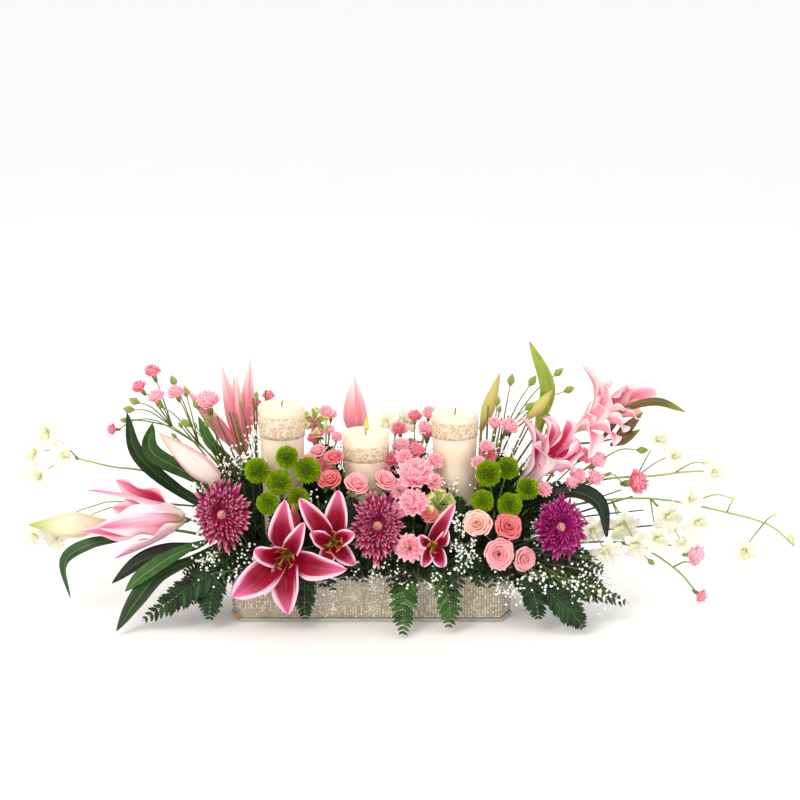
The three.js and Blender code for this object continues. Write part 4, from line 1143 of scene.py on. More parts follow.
@dataclass(frozen=True)
class Wrapped:
    """A petal that wraps round the +Z axis of its flower.

    Attributes:
        angle, span: where round the axis it stands, and half the angle that it covers.
        foot, rim: the radius and height of its foot and of its rim.
        roll: how far the rim rolls out and down.
        frill, phase: how far the rim waves, and where the waves begin.
        across, along: how many faces it has each way.
    """

    angle: float
    span: float
    foot: tuple[float, float]
    rim: tuple[float, float]
    roll: float = 0.0
    frill: float = 0.0
    across: int = 6
    along: int = 6
    phase: float = 0.0

    def carve(self) -> Mesh:
        """The petal as a bmesh, its face turned to the axis."""
        part = sheet(self.across, self.along)
        for vert in part.verts:
            s, t = -2 * vert.co.x, vert.co.y + 0.5
            open_up = 0.3 + 0.7 * math.sin(math.pi / 2 * min(1.0, 1.25 * t))
            angle = self.angle + s * self.span * open_up
            back = max(0.0, (t - 0.7) / 0.3)
            wave = self.frill * t * t * math.sin(6.5 * s + self.phase)
            tooth = self.frill * 0.3 * (round((s + 1) * self.across / 2) % 2) * t**4
            radius = mix(self.foot[0], self.rim[0], math.sin(math.pi / 2 * t) ** 0.9)
            radius += self.roll * back * back * (1 - 0.4 * s * s) + wave
            height = mix(self.foot[1], self.rim[1] - 0.22 * abs(self.rim[1] - self.foot[1]) * s * s * t, t)
            height += -0.8 * self.roll * back**2 + 0.7 * wave - tooth
            vert.co = polar(angle, radius, height)
        return part


class Rose(Head):
    """A half-open spray rose."""

    def carve(self, into: Clump) -> None:
        """Adds the rose: petals in slot cast, sepals in slot 4."""
        rng = random.Random(self.seed)
        head, size, count = Clump(), self.radius, 20
        for k in range(count):
            q = k / (count - 1)
            rim = size * mix(0.13, 0.95, q**0.85) * rng.uniform(0.95, 1.05)
            top = size * mix(0.62, 0.12, q**2.2) * rng.uniform(0.94, 1.06)
            petal = Wrapped(
                angle=k * GOLDEN, span=mix(2.3, 0.82, q**0.6), foot=(0.1 * size, -0.6 * size),
                rim=(rim, top), roll=size * mix(0.02, 0.2, q), frill=size * mix(0.0, 0.04, q),
                across=7, along=6, phase=rng.uniform(0, 6),
            )
            head.add(petal, self.cast)
        for k in range(5):
            out = polar(k * math.tau / 5)
            rib = Rib.arc(out * 2 - UP * 0.62 * size, (out - UP) * 0.6 * size, (out * 0.85 - UP * 0.9) * size)
            head.add(Blade(rib, out.cross(UP), 0.3 * size, Outline.LEAF, 2, 5), 4)
        hip = Rib.through((0, 0, -0.85 * size), (0, 0, -0.6 * size), (0, 0, -0.4 * size))
        head.add(Sheath(hip, 0.24 * size, bulb(0.9, 0.6), 8, 5), 4)
        into.put(head, self, rng.uniform(0, 6))


class Carnation(Head):
    """A frilled carnation in a green calyx."""

    def carve(self, into: Clump) -> None:
        """Adds the carnation: petals in slot cast, calyx in slot 4."""
        rng = random.Random(self.seed)
        head, size = Clump(), self.radius
        count = 46 if size > 16 else 32
        for k in range(count):
            q = (k + 0.5) / count
            rim = size * mix(0.16, 1.0, q**0.6) * rng.uniform(0.88, 1.08)
            top = size * (mix(0.72, -0.12, q**1.4) + rng.uniform(-0.1, 0.12))
            petal = Wrapped(
                angle=k * GOLDEN, span=mix(1.2, 0.42, q**0.5), foot=(0.1 * size, -0.7 * size),
                rim=(rim, top), roll=size * 0.12 * q, frill=size * rng.uniform(0.1, 0.2),
                across=8, along=4, phase=rng.uniform(0, 6),
            )
            head.add(petal, self.cast)
        tube = Rib.through((0, 0, -1.5 * size), (0, 0, -1.0 * size), (0, 0, -0.42 * size))
        head.add(Sheath(tube, 0.3 * size, lambda t: 0.55 + 0.45 * ease(2 * t), 8, 5), 4)
        into.put(head, self, rng.uniform(0, 6))


class Orchid(Head):
    """A dendrobium bloom, turned round its axis by its seed."""

    def carve(self, into: Clump) -> None:
        """Adds the bloom: sepals and petals in slot 0, its lip in slot 1."""
        head, size = Clump(), 1.14 * self.radius
        parts = (
            (90, 1.0, 0.6, 0.1), (225, 0.95, 0.58, 0.1), (315, 0.95, 0.58, 0.1),
            (22, 1.02, 0.95, 0.22), (158, 1.02, 0.95, 0.22),
        )
        for degrees, reach, width, high in parts:
            turn = math.radians(degrees)
            out = polar(turn)
            rib = Rib.arc(
                out * 0.06 * size + UP * high * 2, out * 0.6 * size * reach + UP * 0.34 * size,
                out * size * reach + UP * (high - 0.05) * size,
            )
            wide = width > 0.6
            head.gather(
                Blade(
                    rib, out.cross(UP), width * size, Outline.ROUND if wide else Outline.OVAL, 4, 8,
                    cup=0.2, ripple=0.1 if wide else 0.04, keel=0.1, turn=turn,
                ).carve(), 0,
            )
        lip = Rib.arc(UP * 0.1 * size, Vector((0, -0.1, 0.6)) * size, Vector((0, -0.62, 0.42)) * size)
        head.add(Blade(lip, Vector((-1, 0, 0)), 0.5 * size, Outline.ROUND, 4, 6, cup=-0.6, ripple=0.3), 1)
        places = ((0, 0, -0.1), (0, 0.02, 0.2), (0, -0.06, 0.36))
        column = Rib(tuple(Vector(place) * size for place in places))
        head.add(Sheath(column, 0.1 * size, bulb(0.7, 0.4), 7, 6), 1)
        into.put(head, self, self.seed)


@dataclass(frozen=True)
class Frond:
    """A fern frond: leaflets in pairs along a rib, each with a toothed margin.

    Attributes:
        route, facing: the points of its rib, and where its face looks.
        reach, pairs: the length of its longest leaflets, and how many pairs there are.
        bare, droop: the share of the rib without leaflets, and how far they hang.
        rows: how many faces a leaflet has along.
    """

    route: tuple[Place, ...]
    reach: float
    pairs: int = 13
    facing: Place = (0, 0, 1)
    bare: float = 0.06
    droop: float = 0.25
    rows: int = 10

    def carve(self, into: Clump, leaf: int = 0, stem: int = 1, seed: int = 0) -> None:
        """Adds the frond: leaflets in slot leaf and its rib in slot stem."""
        rng = random.Random(seed)
        rib = Rib.through(*self.route)
        along = (rib.at(1) - rib.at(0)).normalized()
        side = along.cross(Vector(self.facing)).normalized()
        into.stem(rib, 0.9, stem, 4, 8, 0.35)
        length = sum(step for *_, step in rib.steps(12))
        for k in range(self.pairs):
            share = mix(self.bare, 0.97, (k + 0.5) / self.pairs)
            size = self.reach * math.sin(math.pi * mix(0.3, 1, (k + 0.6) / (self.pairs + 1))) ** 0.8
            here = rib.at(share)
            forward = (rib.at(share + 0.03) - rib.at(share - 0.03)).normalized()
            across = (side - forward * side.dot(forward)).normalized()
            face = across.cross(forward)
            for sign in (-1, 1):
                out = across * sign
                grow = size * rng.uniform(0.86, 1.1)
                lead = rng.uniform(0.45, 0.7)
                droop = self.droop * rng.uniform(0.4, 1)
                tip = here + (out * 0.88 + forward * lead - face * droop) * grow
                bend = here.lerp(tip, 0.5) + (out - forward) * (0.07 * grow)
                leaflet = Rib.arc(here, bend, tip)
                width = min(1.6 * length / self.pairs, 0.42 * grow + 2)
                blade = Blade(
                    leaflet, out.cross(face), width, Outline.PINNA, 2, self.rows,
                    cup=-0.12, teeth=0.36, ripple=0.06,
                )
                into.add(blade, leaf)


def planted(*places: Place) -> Rib:
    """The line of a stem from its foot deep in the foam, the first place being on the foam's surface."""
    points = [Vector(place[:3]) for place in places]
    return Rib((points[0] + (points[0] - points[1]).normalized() * STEM_DEPTH, *points))


# ------------------------------------------------------------------ container and candles
TRAY_LENGTH, TRAY_DEPTH = 424.0, 170.0
CORNER_CUT = (17.0, 40.0)
CANDLE_FOOT = 90.35  # the height at which the candles stand in the foam
FOOT_RADIUS, TOP_RADIUS = 27.0, 35.0


@dataclass(frozen=True)
class Container:
    """The tray, its bead wrap, its foot strip, the liner and the foam.

    Attributes:
        pitch, bead: how far apart the strings of beads stand, and a bead's radius.
        bare: patches along the foot without beads, each from x, to x and up to z, on the front.
        swirls: the middle x, z and the radius of each swirl.
    """

    pitch: float = 4.1
    bead: float = 1.85
    bare: tuple[Place, ...] = ((-190, -174, 20), (-163, -136, 15), (-205, -190, 12))
    swirls: tuple[Place, ...] = (
        (-84, 30, 16), (-57, 50, 13), (-55, 19, 14), (-27, 36, 16), (2, 20, 14), (4, 50, 13), (30, 34, 15),
    )

    def corners(self, inset: float) -> list[Vector]:
        """The plan's corners, drawn inwards by inset, in order round the tray."""
        x, y = TRAY_LENGTH / 2 - inset, TRAY_DEPTH / 2 - inset
        cut_x, cut_y = CORNER_CUT
        plan = ((-x + cut_x, -y), (x - cut_x, -y), (x, -y + cut_y), (x, y - cut_y))
        half = [Vector((*corner, 0)) for corner in plan]
        return half + [-corner for corner in half]

    def backing(self) -> Mesh:
        """The cloth under the beads: a thin wall round the tray."""
        part = fresh()
        rings = []
        for inset, height in ((3.5, 5.4), (1.7, 5.4), (1.7, 69.6), (3.5, 69.6)):
            verts = [part.verts.new(place + UP * height) for place in self.corners(inset)]
            rings.append([part.edges.new((a, b)) for a, b in zip(verts, verts[1:] + verts[:1])])
        for low, high in zip(rings, rings[1:] + rings[:1]):
            bmesh.ops.bridge_loops(part, edges=low + high)
        bmesh.ops.recalc_face_normals(part, faces=part.faces[:])
        return part

    def wrap(self) -> None:
        """Rows of beads on the tray's wall, with swirls in the middle of its long sides."""
        rng = random.Random(17)
        cloth = Grain("bead_cloth", "8a7e68", "cdc1a8", scale=700.0, rough=0.45, metal=0.3)
        copper = Grain("bare_copper", "9a6a40", "e0b088", scale=300.0, rough=0.35, metal=0.5, streak=6)
        tiny = Bead("bead_small", "b8aa90", "fffaf0", rough=0.28)
        big = Bead("bead_large", "cabda4", "ffffff", rough=0.16)
        piece = Piece("bead_wrap_rows", cloth, tiny, big, copper)
        piece.gather(self.backing(), 0)
        for face in piece.whole.faces:
            face.smooth = False
        for low, high, top in self.bare:
            strip = Rib.through((low, -83.1, 5.6), (low, -83.1, top))
            plate = Rib(tuple(place + Vector(((high - low) / 2, 0, 0)) for place in strip.points))
            piece.add(Blade(plate, Vector((1, 0, 0)), high - low, Outline.PLATE, 2, 4, cup=0.0), 3)
        corners = self.corners(1.9)
        for number, (a, b) in enumerate(zip(corners, corners[1:] + corners[:1])):
            span = (b - a).length
            columns = int(span / self.pitch)
            for i in range(columns):
                base = a.lerp(b, (i + 0.5) / columns)
                for j in range(19):
                    z = 7.6 + 3.25 * j
                    here = base + UP * z
                    x = here.x if number < 4 else -here.x
                    if number in (0, 4) and self.skipped(x, z, number == 0):
                        continue
                    size = self.bead * rng.uniform(0.82, 1.04)
                    jitter = Vector((rng.uniform(-0.25, 0.25), 0, rng.uniform(-0.15, 0.15)))
                    piece.ball(here + jitter, size, 1)
        for front in (True, False):
            self.swirl(piece, front, rng)
        piece.show("beads", ["bead_wrap"])

    def skipped(self, x: float, z: float, front: bool) -> bool:
        """Whether no bead of the plain rows stands at x and z."""
        if front and any(low <= x <= high and z <= top for low, high, top in self.bare):
            return True
        return any(math.hypot(x - cx, z - cz) < r + 1 for cx, cz, r in self.swirls)

    @staticmethod
    def wall_step(away: float, turn: float) -> Vector:
        """A step on the tray's long walls, by its length and its angle from X."""
        return Vector((away * math.cos(turn), 0, away * math.sin(turn)))

    def swirl(self, piece: Piece, front: bool, rng: random.Random) -> None:
        """Adds the swirls of larger and smaller beads to one long side."""
        y = -(TRAY_DEPTH / 2 - 2.2) if front else TRAY_DEPTH / 2 - 2.2
        for cx, cz, r in self.swirls:
            cx = cx if front else -cx
            middle = Vector((cx, y, cz))
            piece.ball(middle, 2.6, 2, 2)
            for arm in range(5):
                turn = arm * 2 * math.pi / 5 + 0.3 * cx
                for k in range(14):
                    bend = 2 * math.pi * k / 14
                    away = 0.56 * r + 0.4 * r * math.cos(bend)
                    lean = turn + 0.5 * math.sin(bend) + 0.25 * away / r
                    place = middle + self.wall_step(away, lean)
                    if 6.5 < place.z < 68:
                        piece.ball(place, 1.5 * rng.uniform(0.85, 1.1), 2 if k % 2 else 1)
                vein = middle + self.wall_step(0.6 * r, turn + 0.15)
                if 6.5 < vein.z < 68:
                    piece.ball(vein, 2.0, 2)
            for k in range(int(3.2 * r)):
                away, turn = r * math.sqrt(rng.random()), rng.uniform(0, 6.28)
                place = middle + self.wall_step(away, turn) + Vector((0, 0.7, 0))
                if 6 < place.z < 68:
                    piece.ball(place, 1.2, 1)

    def build(self) -> None:
        """Builds the wrap and dresses the nodes that stay."""
        self.wrap()
        for node, finish in (
            ("tray", Grain("tray_copper", "9a6a3c", "d8a878", 260.0, 0.4, 0.35, streak=6)),
            ("foot_strip", Grain("strip_silver", "a8a59c", "efece4", 420.0, 0.22, 0.9, 0.0002, 8)),
            ("liner", Grain("liner_film", "141c14", "2c3a2a", 160.0, 0.5)),
            ("floral_foam", Grain("foam_cells", "14260f", "35542a", 650.0, 0.95, height=0.0012, pits=True)),
        ):
            keep(node, finish)


@dataclass(frozen=True)
class Candle:
    """A pillar candle with its lace band and wick.

    Attributes:
        name, x: left, middle or right, and its place along the tray.
        top, band: the height of its rim, and the lace band's lowest and highest edge.
        lit: whether it burns.
    """

    name: str
    x: float
    top: float
    band: tuple[float, float]
    lit: bool = False

    def radius(self, z: float) -> float:
        """The candle's radius at height z."""
        return mix(FOOT_RADIUS, TOP_RADIUS, (z - CANDLE_FOOT) / (self.top - CANDLE_FOOT))

    def turned(self, profile: Sequence[tuple[float, float]], steps: int = 64) -> Mesh:
        """A closed body of revolution round the candle's axis."""
        part = fresh()
        verts = [part.verts.new((self.x + r, 0, z)) for r, z in profile]
        edges = [part.edges.new(pair) for pair in zip(verts, verts[1:])]
        bmesh.ops.spin(
            part, geom=verts + edges, cent=(self.x, 0, 0), axis=(0, 0, 1), dvec=(0, 0, 0),
            angle=2 * math.pi, steps=steps, use_merge=True, use_duplicate=False,
        )
        bmesh.ops.remove_doubles(part, verts=part.verts[:], dist=0.01)
        bmesh.ops.recalc_face_normals(part, faces=part.faces[:])
        return part

    def body(self) -> None:
        """The wax: a tapered pillar with a soft rim and a melt pool."""
        top, rim = self.top, TOP_RADIUS
        dip = 6.0 if self.lit else 4.0
        profile = [(0.0, CANDLE_FOOT), (FOOT_RADIUS - 1, CANDLE_FOOT), (FOOT_RADIUS, 92.0)]
        profile += [(self.radius(z), z) for z in (130.0, 180.0, 230.0, top - 12, top - 3)]
        profile += [(rim - 0.4, top - 1.2), (rim - 1.4, top - 0.2), (rim - 2.8, top - 0.2)]
        profile += [(rim - 5.5, top - 1.8), (rim - 10, top - dip + 0.8), (rim - 16, top - dip)]
        profile.append((0.0, top - dip))
        part = self.turned(profile)
        rng = random.Random(int(self.x) + 500)
        lumps = [(rng.uniform(0, 6.28), rng.uniform(0.4, 1.0)) for _ in range(5)]
        for vert in part.verts:
            turn = math.atan2(vert.co.y, vert.co.x - self.x)
            high = ease((vert.co.z - top + 22) / 22)
            wave = sum(size * math.cos(k * turn + start) for k, (start, size) in enumerate(lumps, 2))
            away = math.hypot(vert.co.y, vert.co.x - self.x)
            if away > 12:
                vert.co.z += 0.35 * wave * high
        wax = Wax(f"wax_{self.name}", self.top * MM, 0.16 if self.lit else 0.03)
        piece = Piece(f"candle_{self.name}_wax", wax)
        piece.gather(part, 0)
        piece.show("candle_wax", [f"candle_{self.name}"])

    def lace(self) -> None:
        """The band of lace, with beads along its edges and scattered over it."""
        low, high = self.band
        inner = lambda z: self.radius(z) + 0.25
        rows = [low, mix(low, high, 0.25), mix(low, high, 0.5), mix(low, high, 0.75), high]
        profile = [(inner(z) + 0.6, z) for z in rows] + [(inner(z), z) for z in reversed(rows)]
        profile.append(profile[0])
        piece = Piece(
            f"lace_band_{self.name}_beads", Lace("lace"), Bead("lace_gold", "a87c50", "ecd0a4"),
            Bead("lace_pearl", "d8c4a4", "fbf0de", rough=0.3),
        )
        piece.gather(self.turned(profile, 56), 0)
        rng = random.Random(int(self.x) + 77)
        for k in range(300):
            f = abs(rng.uniform(-1, 1) + rng.uniform(-1, 1)) / 2
            z = mix(low, high, 0.5 + 0.5 * f * rng.choice((-1, 1)) * rng.choice((1.0, 1.06)))
            turn = rng.uniform(0, 2 * math.pi)
            place = polar(turn, inner(z) + 0.7, z) + Vector((self.x, 0, 0))
            piece.ball(place, rng.choice((0.7, 0.9, 1.15)), rng.choice((1, 2, 2, 2)))
        for row in (low + 0.6, high - 0.6):
            for k in range(36):
                turn = rng.uniform(0, 2 * math.pi)
                place = polar(turn, inner(row) + 0.5, row + rng.uniform(-1.2, 1.2)) + Vector((self.x, 0, 0))
                piece.ball(place, 0.85, 1 if k % 4 == 0 else 2)
        piece.show("lace_band", [f"lace_band_{self.name}"])

    def wick(self) -> None:
        """The wick, and the flame of a burning candle."""
        foot, top = self.top - 15.6, self.top + 6
        bent = Rib.through((self.x, 0, foot), (self.x, 0, self.top), (self.x + 1.2, 0, top))
        piece = Piece(f"wick_{self.name}_cord", Grain("wick_char", "0c0a08", "3a3028", scale=900.0))
        piece.stem(bent, 0.95, 0, 8, 8, 0.7)
        piece.show("wick", [f"wick_{self.name}"])
        if not self.lit:
            return
        shape = lambda t: 0.0 if t <= 0 or t >= 1 else math.sin(math.pi * t**0.55) ** 0.9
        burn = Rib.through(*((self.x + x, 0, self.top + z) for x, z in ((1, 1), (1.2, 13), (1.6, 27))))
        flame = Piece("flame", Flame("flame_light"))
        flame.add(Sheath(burn, 4.0, shape, 14, 14), 0)
        flame.show("wick")

    def build(self) -> None:
        """Builds the candle's pieces."""
        self.body()
        self.lace()
        self.wick()


# ------------------------------------------------------------------ the arrangement
LILIES = {
    "front_left": Lily((-123, -80, 108), (-0.1, -0.95, 0.1), (
        (-201, -152, 61, 42), (-122, -150, 34, 34), (-36, -148, 101, 36),
        (-125, -116, 196, 34), (-97, -148, 172, 22), (-168, -150, 132, 26),
    )),
    "front_middle": Lily((-55, -72, 119), (-0.05, -0.9, 0.35), (
        (-104, -106, 198, 26), (-48, -92, 206, 28), (-84, -140, 158, 20),
        (-24, -124, 150, 22), (-24, -112, 98, 22), (-72, -106, 84, 22),
    )),
    "front_right": Lily((91, -74, 118), (0.05, -0.95, 0.15), (
        (78, -120, 97, 16), (106, -122, 97, 18), (112, -106, 150, 16), (74, -110, 142, 14),
        (124, -98, 186, 18),
    ), reach=24, stamens=3, foot=((88, -58, 98), (89, -64, 110))),
    "left": Lily((-282, -30, 142), (-0.95, -0.25, 0.15), (
        (-386, -14, 199, 50), (-424, -60, 196, 42), (-398, -108, 155, 44),
        (-434, -66, 136, 44), (-383, -84, 100, 48), (-396, 8, 150, 42),
    ), reach=78, stamens=6, curl=1, bell=True),
    "right": Lily((219, -10, 189), (0.72, -0.2, 0.66), (
        (229, -4, 300, 34), (268, 30, 292, 32), (296, -14, 296, 36), (322, 6, 250, 32),
        (304, -56, 228, 34), (246, -58, 268, 32), (262, -14, 300, 30), (312, -30, 268, 32),
    ), reach=60, curl=12),
    "upper_right": Lily((313, 50, 262), (0.8, -0.2, 0.55), (
        (328, 72, 360, 34), (354, 24, 343, 36), (438, 44, 320, 34), (404, 12, 292, 34),
        (369, -10, 256, 32), (330, -26, 240, 32), (392, 30, 334, 34), (384, -6, 276, 30),
        (342, 4, 320, 32), (420, 30, 306, 30), (330, 20, 300, 28),
    ), reach=40, curl=12),
    "back": Lily((60, 84, 140), (0.1, 0.9, 0.4), (
        (60, 130, 232, 30), (-18, 140, 196, 30), (-20, 150, 110, 30),
        (60, 158, 66, 30), (138, 142, 104, 30), (136, 132, 190, 30),
    ), foot=((56, 56, 98), (57, 66, 116))),
}


def seat(name: str) -> tuple[Place, Place]:
    """The last two places of a stem that carries an open lily."""
    out = Vector(LILIES[name].axis).normalized()
    return Vector(LILIES[name].base) - out * 15, Vector(LILIES[name].base) - out * 5


@dataclass(frozen=True)
class Spike:
    """A lily's stem with leaves and closed buds.

    Attributes:
        node, slot: the CAD node it stands for, and the record's material slot.
        finishes: its materials, the second being the stem's.
        route: the places of its stem, the first on the foam.
        buds, bud: each bud's foot, tip and radius, and their material.
        leaves: each leaf's places, its width, its material and where its face looks.
        twigs: the places of its side stems; a number at the start is a share of the stem.
    """

    node: str
    slot: str
    finishes: tuple[Finish, ...]
    route: tuple[Place, ...]
    buds: tuple[tuple, ...] = ()
    leaves: tuple[tuple, ...] = ()
    twigs: tuple[tuple, ...] = ()
    bud: int = 0


LOW, UPRIGHT = (0, -0.75, 0.66), (0, -1, 0.3)
SPIKES = (
    Spike(
        "lily_stem_front", "leaf", (MID_LEAF, STALK, RED_BUD),
        ((-96, -58, 98), (-102, -68, 106), *seat("front_left")),
        buds=(((-112, -70, 136), (-114, -84, 184), 10),), bud=2,
        twigs=((2 / 3, (-78, -62, 112), *seat("front_middle")), (0.6, (-112, -66, 122), (-112, -70, 140))),
    ),
    Spike(
        "lily_stem_left", "leaf", (DARK_LEAF, STALK, MID_LEAF),
        ((-184, -20, 84), (-235, -22, 118), *seat("left")),
        leaves=(
            (
                ((-232, -22, 116), (-262, -52, 108), (-304, -66, 104), (-346, -78, 90), (-385, -90, 62)),
                27, 0, LOW,
            ),
            (
                ((-222, -22, 110), (-268, -70, 92), (-316, -98, 76), (-345, -124, 46), (-372, -148, 8)),
                29, 0, LOW,
            ),
            (
                ((-226, -20, 112), (-262, -60, 112), (-300, -86, 100), (-338, -104, 78), (-362, -116, 58)),
                24, 2, LOW,
            ),
        ),
    ),
    Spike(
        "lily_bud_far_left", "lily_bud", (CREAM_BUD, PALE_STALK, MID_LEAF),
        ((-184, 12, 78), (-250, 10, 104), (-340, 0, 122), (-398, -12, 131)),
        buds=(((-396, -12, 131), (-519, -20, 131), 21),),
        leaves=((
            ((-330, 0, 120), (-376, -40, 116), (-422, -50, 110), (-460, -56, 84), (-453, -60, 28)),
            22, 2, LOW,
        ),),
    ),
    Spike(
        "lily_bud_left", "lily_bud", (BLUSH_BUD, PALE_STALK, DARK_LEAF, MID_LEAF),
        ((-176, -4, 98), (-200, -14, 148), (-214, -26, 192)),
        buds=(((-212, -25, 189), (-320, -10, 273), 20),),
        leaves=(
            (((-196, -12, 140), (-262, 20, 190), (-332, 12, 236), (-331, 15, 281)), 26, 3, UPRIGHT),
            (((-190, -10, 128), (-280, 30, 160), (-352, 6, 232), (-367, 0, 302)), 22, 2, UPRIGHT),
        ),
    ),
    Spike(
        "lily_buds_upper_left", "lily_bud", (PINK_BUD, PALE_STALK, MID_LEAF),
        ((-160, 40, 98), (-184, 52, 170), (-198, 60, 222)),
        buds=(
            ((-198, 60, 218), (-230, 62, 365), 12.5), ((-196, 62, 218), (-186, 74, 373), 13),
            ((-198, 58, 218), (-288, 44, 338), 12.5), ((-197, 60, 218), (-214, 90, 340), 12),
            ((-198, 56, 216), (-262, 40, 318), 9), ((-196, 58, 216), (-206, 48, 352), 9),
        ),
        leaves=((((-190, 54, 190), (-214, 36, 214), (-246, 24, 250), (-262, 22, 290)), 16, 2, UPRIGHT),),
    ),
    Spike(
        "lily_bud_back", "lily_bud", (PINK_BUD, PALE_STALK), ((-40, 46, 98), (-30, 66, 180), (-24, 68, 240)),
        buds=(((-24, 68, 236), (-27, 72, 343), 20),),
    ),
    Spike(
        "lily_stem_right", "leaf", (DARK_LEAF, STALK), ((168, -12, 98), (190, -10, 140), *seat("right")),
        leaves=((
            ((184, -10, 130), (236, -40, 168), (298, -52, 193), (340, -58, 174), (353, -62, 120)), 32, 0, LOW,
        ),),
    ),
    Spike(
        "lily_stem_upper_right", "leaf", (PALE_LEAF, PALE_STALK, POD),
        ((174, 34, 98), (230, 44, 170), (280, 52, 232), *seat("upper_right")),
        buds=(
            ((366, 24, 250), (412, 20, 298), 9.5), ((362, 22, 244), (408, 14, 272), 8.5),
            ((352, 30, 252), (384, 26, 312), 7.5),
        ), bud=2,
        leaves=(
            (((250, 47, 196), (258, 60, 270), (268, 52, 330), (239, 46, 401)), 23, 0, UPRIGHT),
            (((330, 44, 262), (384, 24, 300), (430, 14, 314), (474, 8, 300)), 14, 2, (0, -0.8, 0.6)),
        ),
        twigs=(((286, 52, 238), (336, 32, 246), (376, 22, 256)),),
    ),
    Spike(
        "lily_buds_right", "green_bud", (GREEN_BUD, PALE_STALK),
        ((158, 48, 98), (164, 56, 180), (168, 56, 262)),
        buds=(((167, 56, 256), (196, 52, 352), 11.5), ((234, 27, 282), (276, 30, 331), 10)),
        twigs=(((166, 56, 230), (200, 40, 250), (238, 26, 286)),),
    ),
)


BUNCHES = (
    ("roses_right", Rose, ((176, -60, 90), (188, -76, 112)), (
        (157, -98, 157, 20, 1), (203, -98, 152, 20, 2), (189, -112, 114, 22, 0), (228, -104, 104, 17, 0),
    ), (0.1, -0.9, 0.3)),
    ("roses_middle", Rose, ((-46, -44, 98), (-44, -46, 172)), (
        (-62, -54, 212, 18, 2), (-55, -44, 244, 15, 2), (-80, -14, 246, 13, 0), (-80, 10, 268, 13, 0),
        (-21, -58, 208, 18, 0), (22, -57, 212, 17, 0),
    ), (0, -0.6, 0.6)),
    ("roses_back", Rose, ((140, 58, 98), (146, 70, 120)), (
        (132, 92, 156, 20, 2), (174, 92, 160, 20, 0), (160, 108, 116, 20, 1), (204, 96, 122, 18, 0),
    ), (0.1, 0.9, 0.3)),
    ("rosebud_front", Rose, ((74, -60, 98), (80, -66, 130)), ((87, -80, 166, 14, 2),), (0, -0.7, 0.5)),
    ("pinks_between", Carnation, ((-66, 20, 98), (-70, 12, 200)), (
        (-68, 14, 300, 11, 0), (-88, 6, 282, 10, 1), (-64, 14, 272, 9, 0), (-52, 8, 262, 9, 0),
        (-94, -20, 232, 12, 0), (-70, -24, 228, 12, 1), (-88, 44, 250, 12, 1), (-62, 44, 288, 10, 0),
    ), (0, -0.7, 0.6)),
    ("pinks_right_of_middle", Carnation, ((60, 10, 98), (64, 8, 190)), (
        (88, 22, 296, 12, 0), (30, -12, 232, 13, 1), (50, -26, 238, 13, 0), (96, -36, 236, 12, 0),
        (80, 4, 278, 11, 0), (42, 34, 268, 12, 1), (94, -52, 208, 13, 0), (42, -60, 196, 13, 0),
        (66, 40, 286, 11, 1), (46, -72, 172, 12, 0),
    ), (0, -0.7, 0.5)),
    ("pinks_behind", Carnation, ((-150, 46, 98), (-160, 44, 240)), (
        (-157, 42, 318, 10, 1), (-177, 44, 306, 10, 1), (-172, 50, 282, 12, 0), (-150, 60, 262, 13, 0),
    ), (0, -0.2, 0.9)),
    ("pinks_under_right", Carnation, ((182, -20, 96), (240, -20, 160)), (
        (310, -26, 210, 14, 0), (336, -26, 207, 13, 0), (300, -44, 203, 11, 0), (258, -50, 196, 12, 0),
        (300, -10, 252, 12, 0), (322, -8, 236, 13, 1), (284, -22, 226, 12, 0), (346, 0, 230, 11, 0),
    ), (0.2, -0.8, 0.4)),
    ("pinks_right_of_right", Carnation, ((170, -20, 98), (166, -34, 180)), (
        (160, -44, 236, 11, 0), (172, -30, 258, 10, 0), (186, 4, 284, 11, 0),
    ), (0, -0.8, 0.5)),
    ("carnations_middle", Carnation, ((62, -52, 98), (64, -56, 146)), (
        (68, -54, 223, 26, 0), (64, -80, 185, 20, 0), (66, -14, 247, 14, 1), (86, 30, 264, 14, 1),
        (44, 18, 246, 14, 0), (58, -105, 121, 19, 0),
    ), (0, -0.7, 0.5)),
)
ORCHID_BUD = Bud("orchid_bud", "b4c070", "dfe0a0", "f0ecc8", suture="b8c070")
PINKS, ORCHIDS = (CARNATION_PINK, CARNATION_DEEP, SMALL_BUD), (ORCHID_WHITE, ORCHID_LIP, ORCHID_BUD)
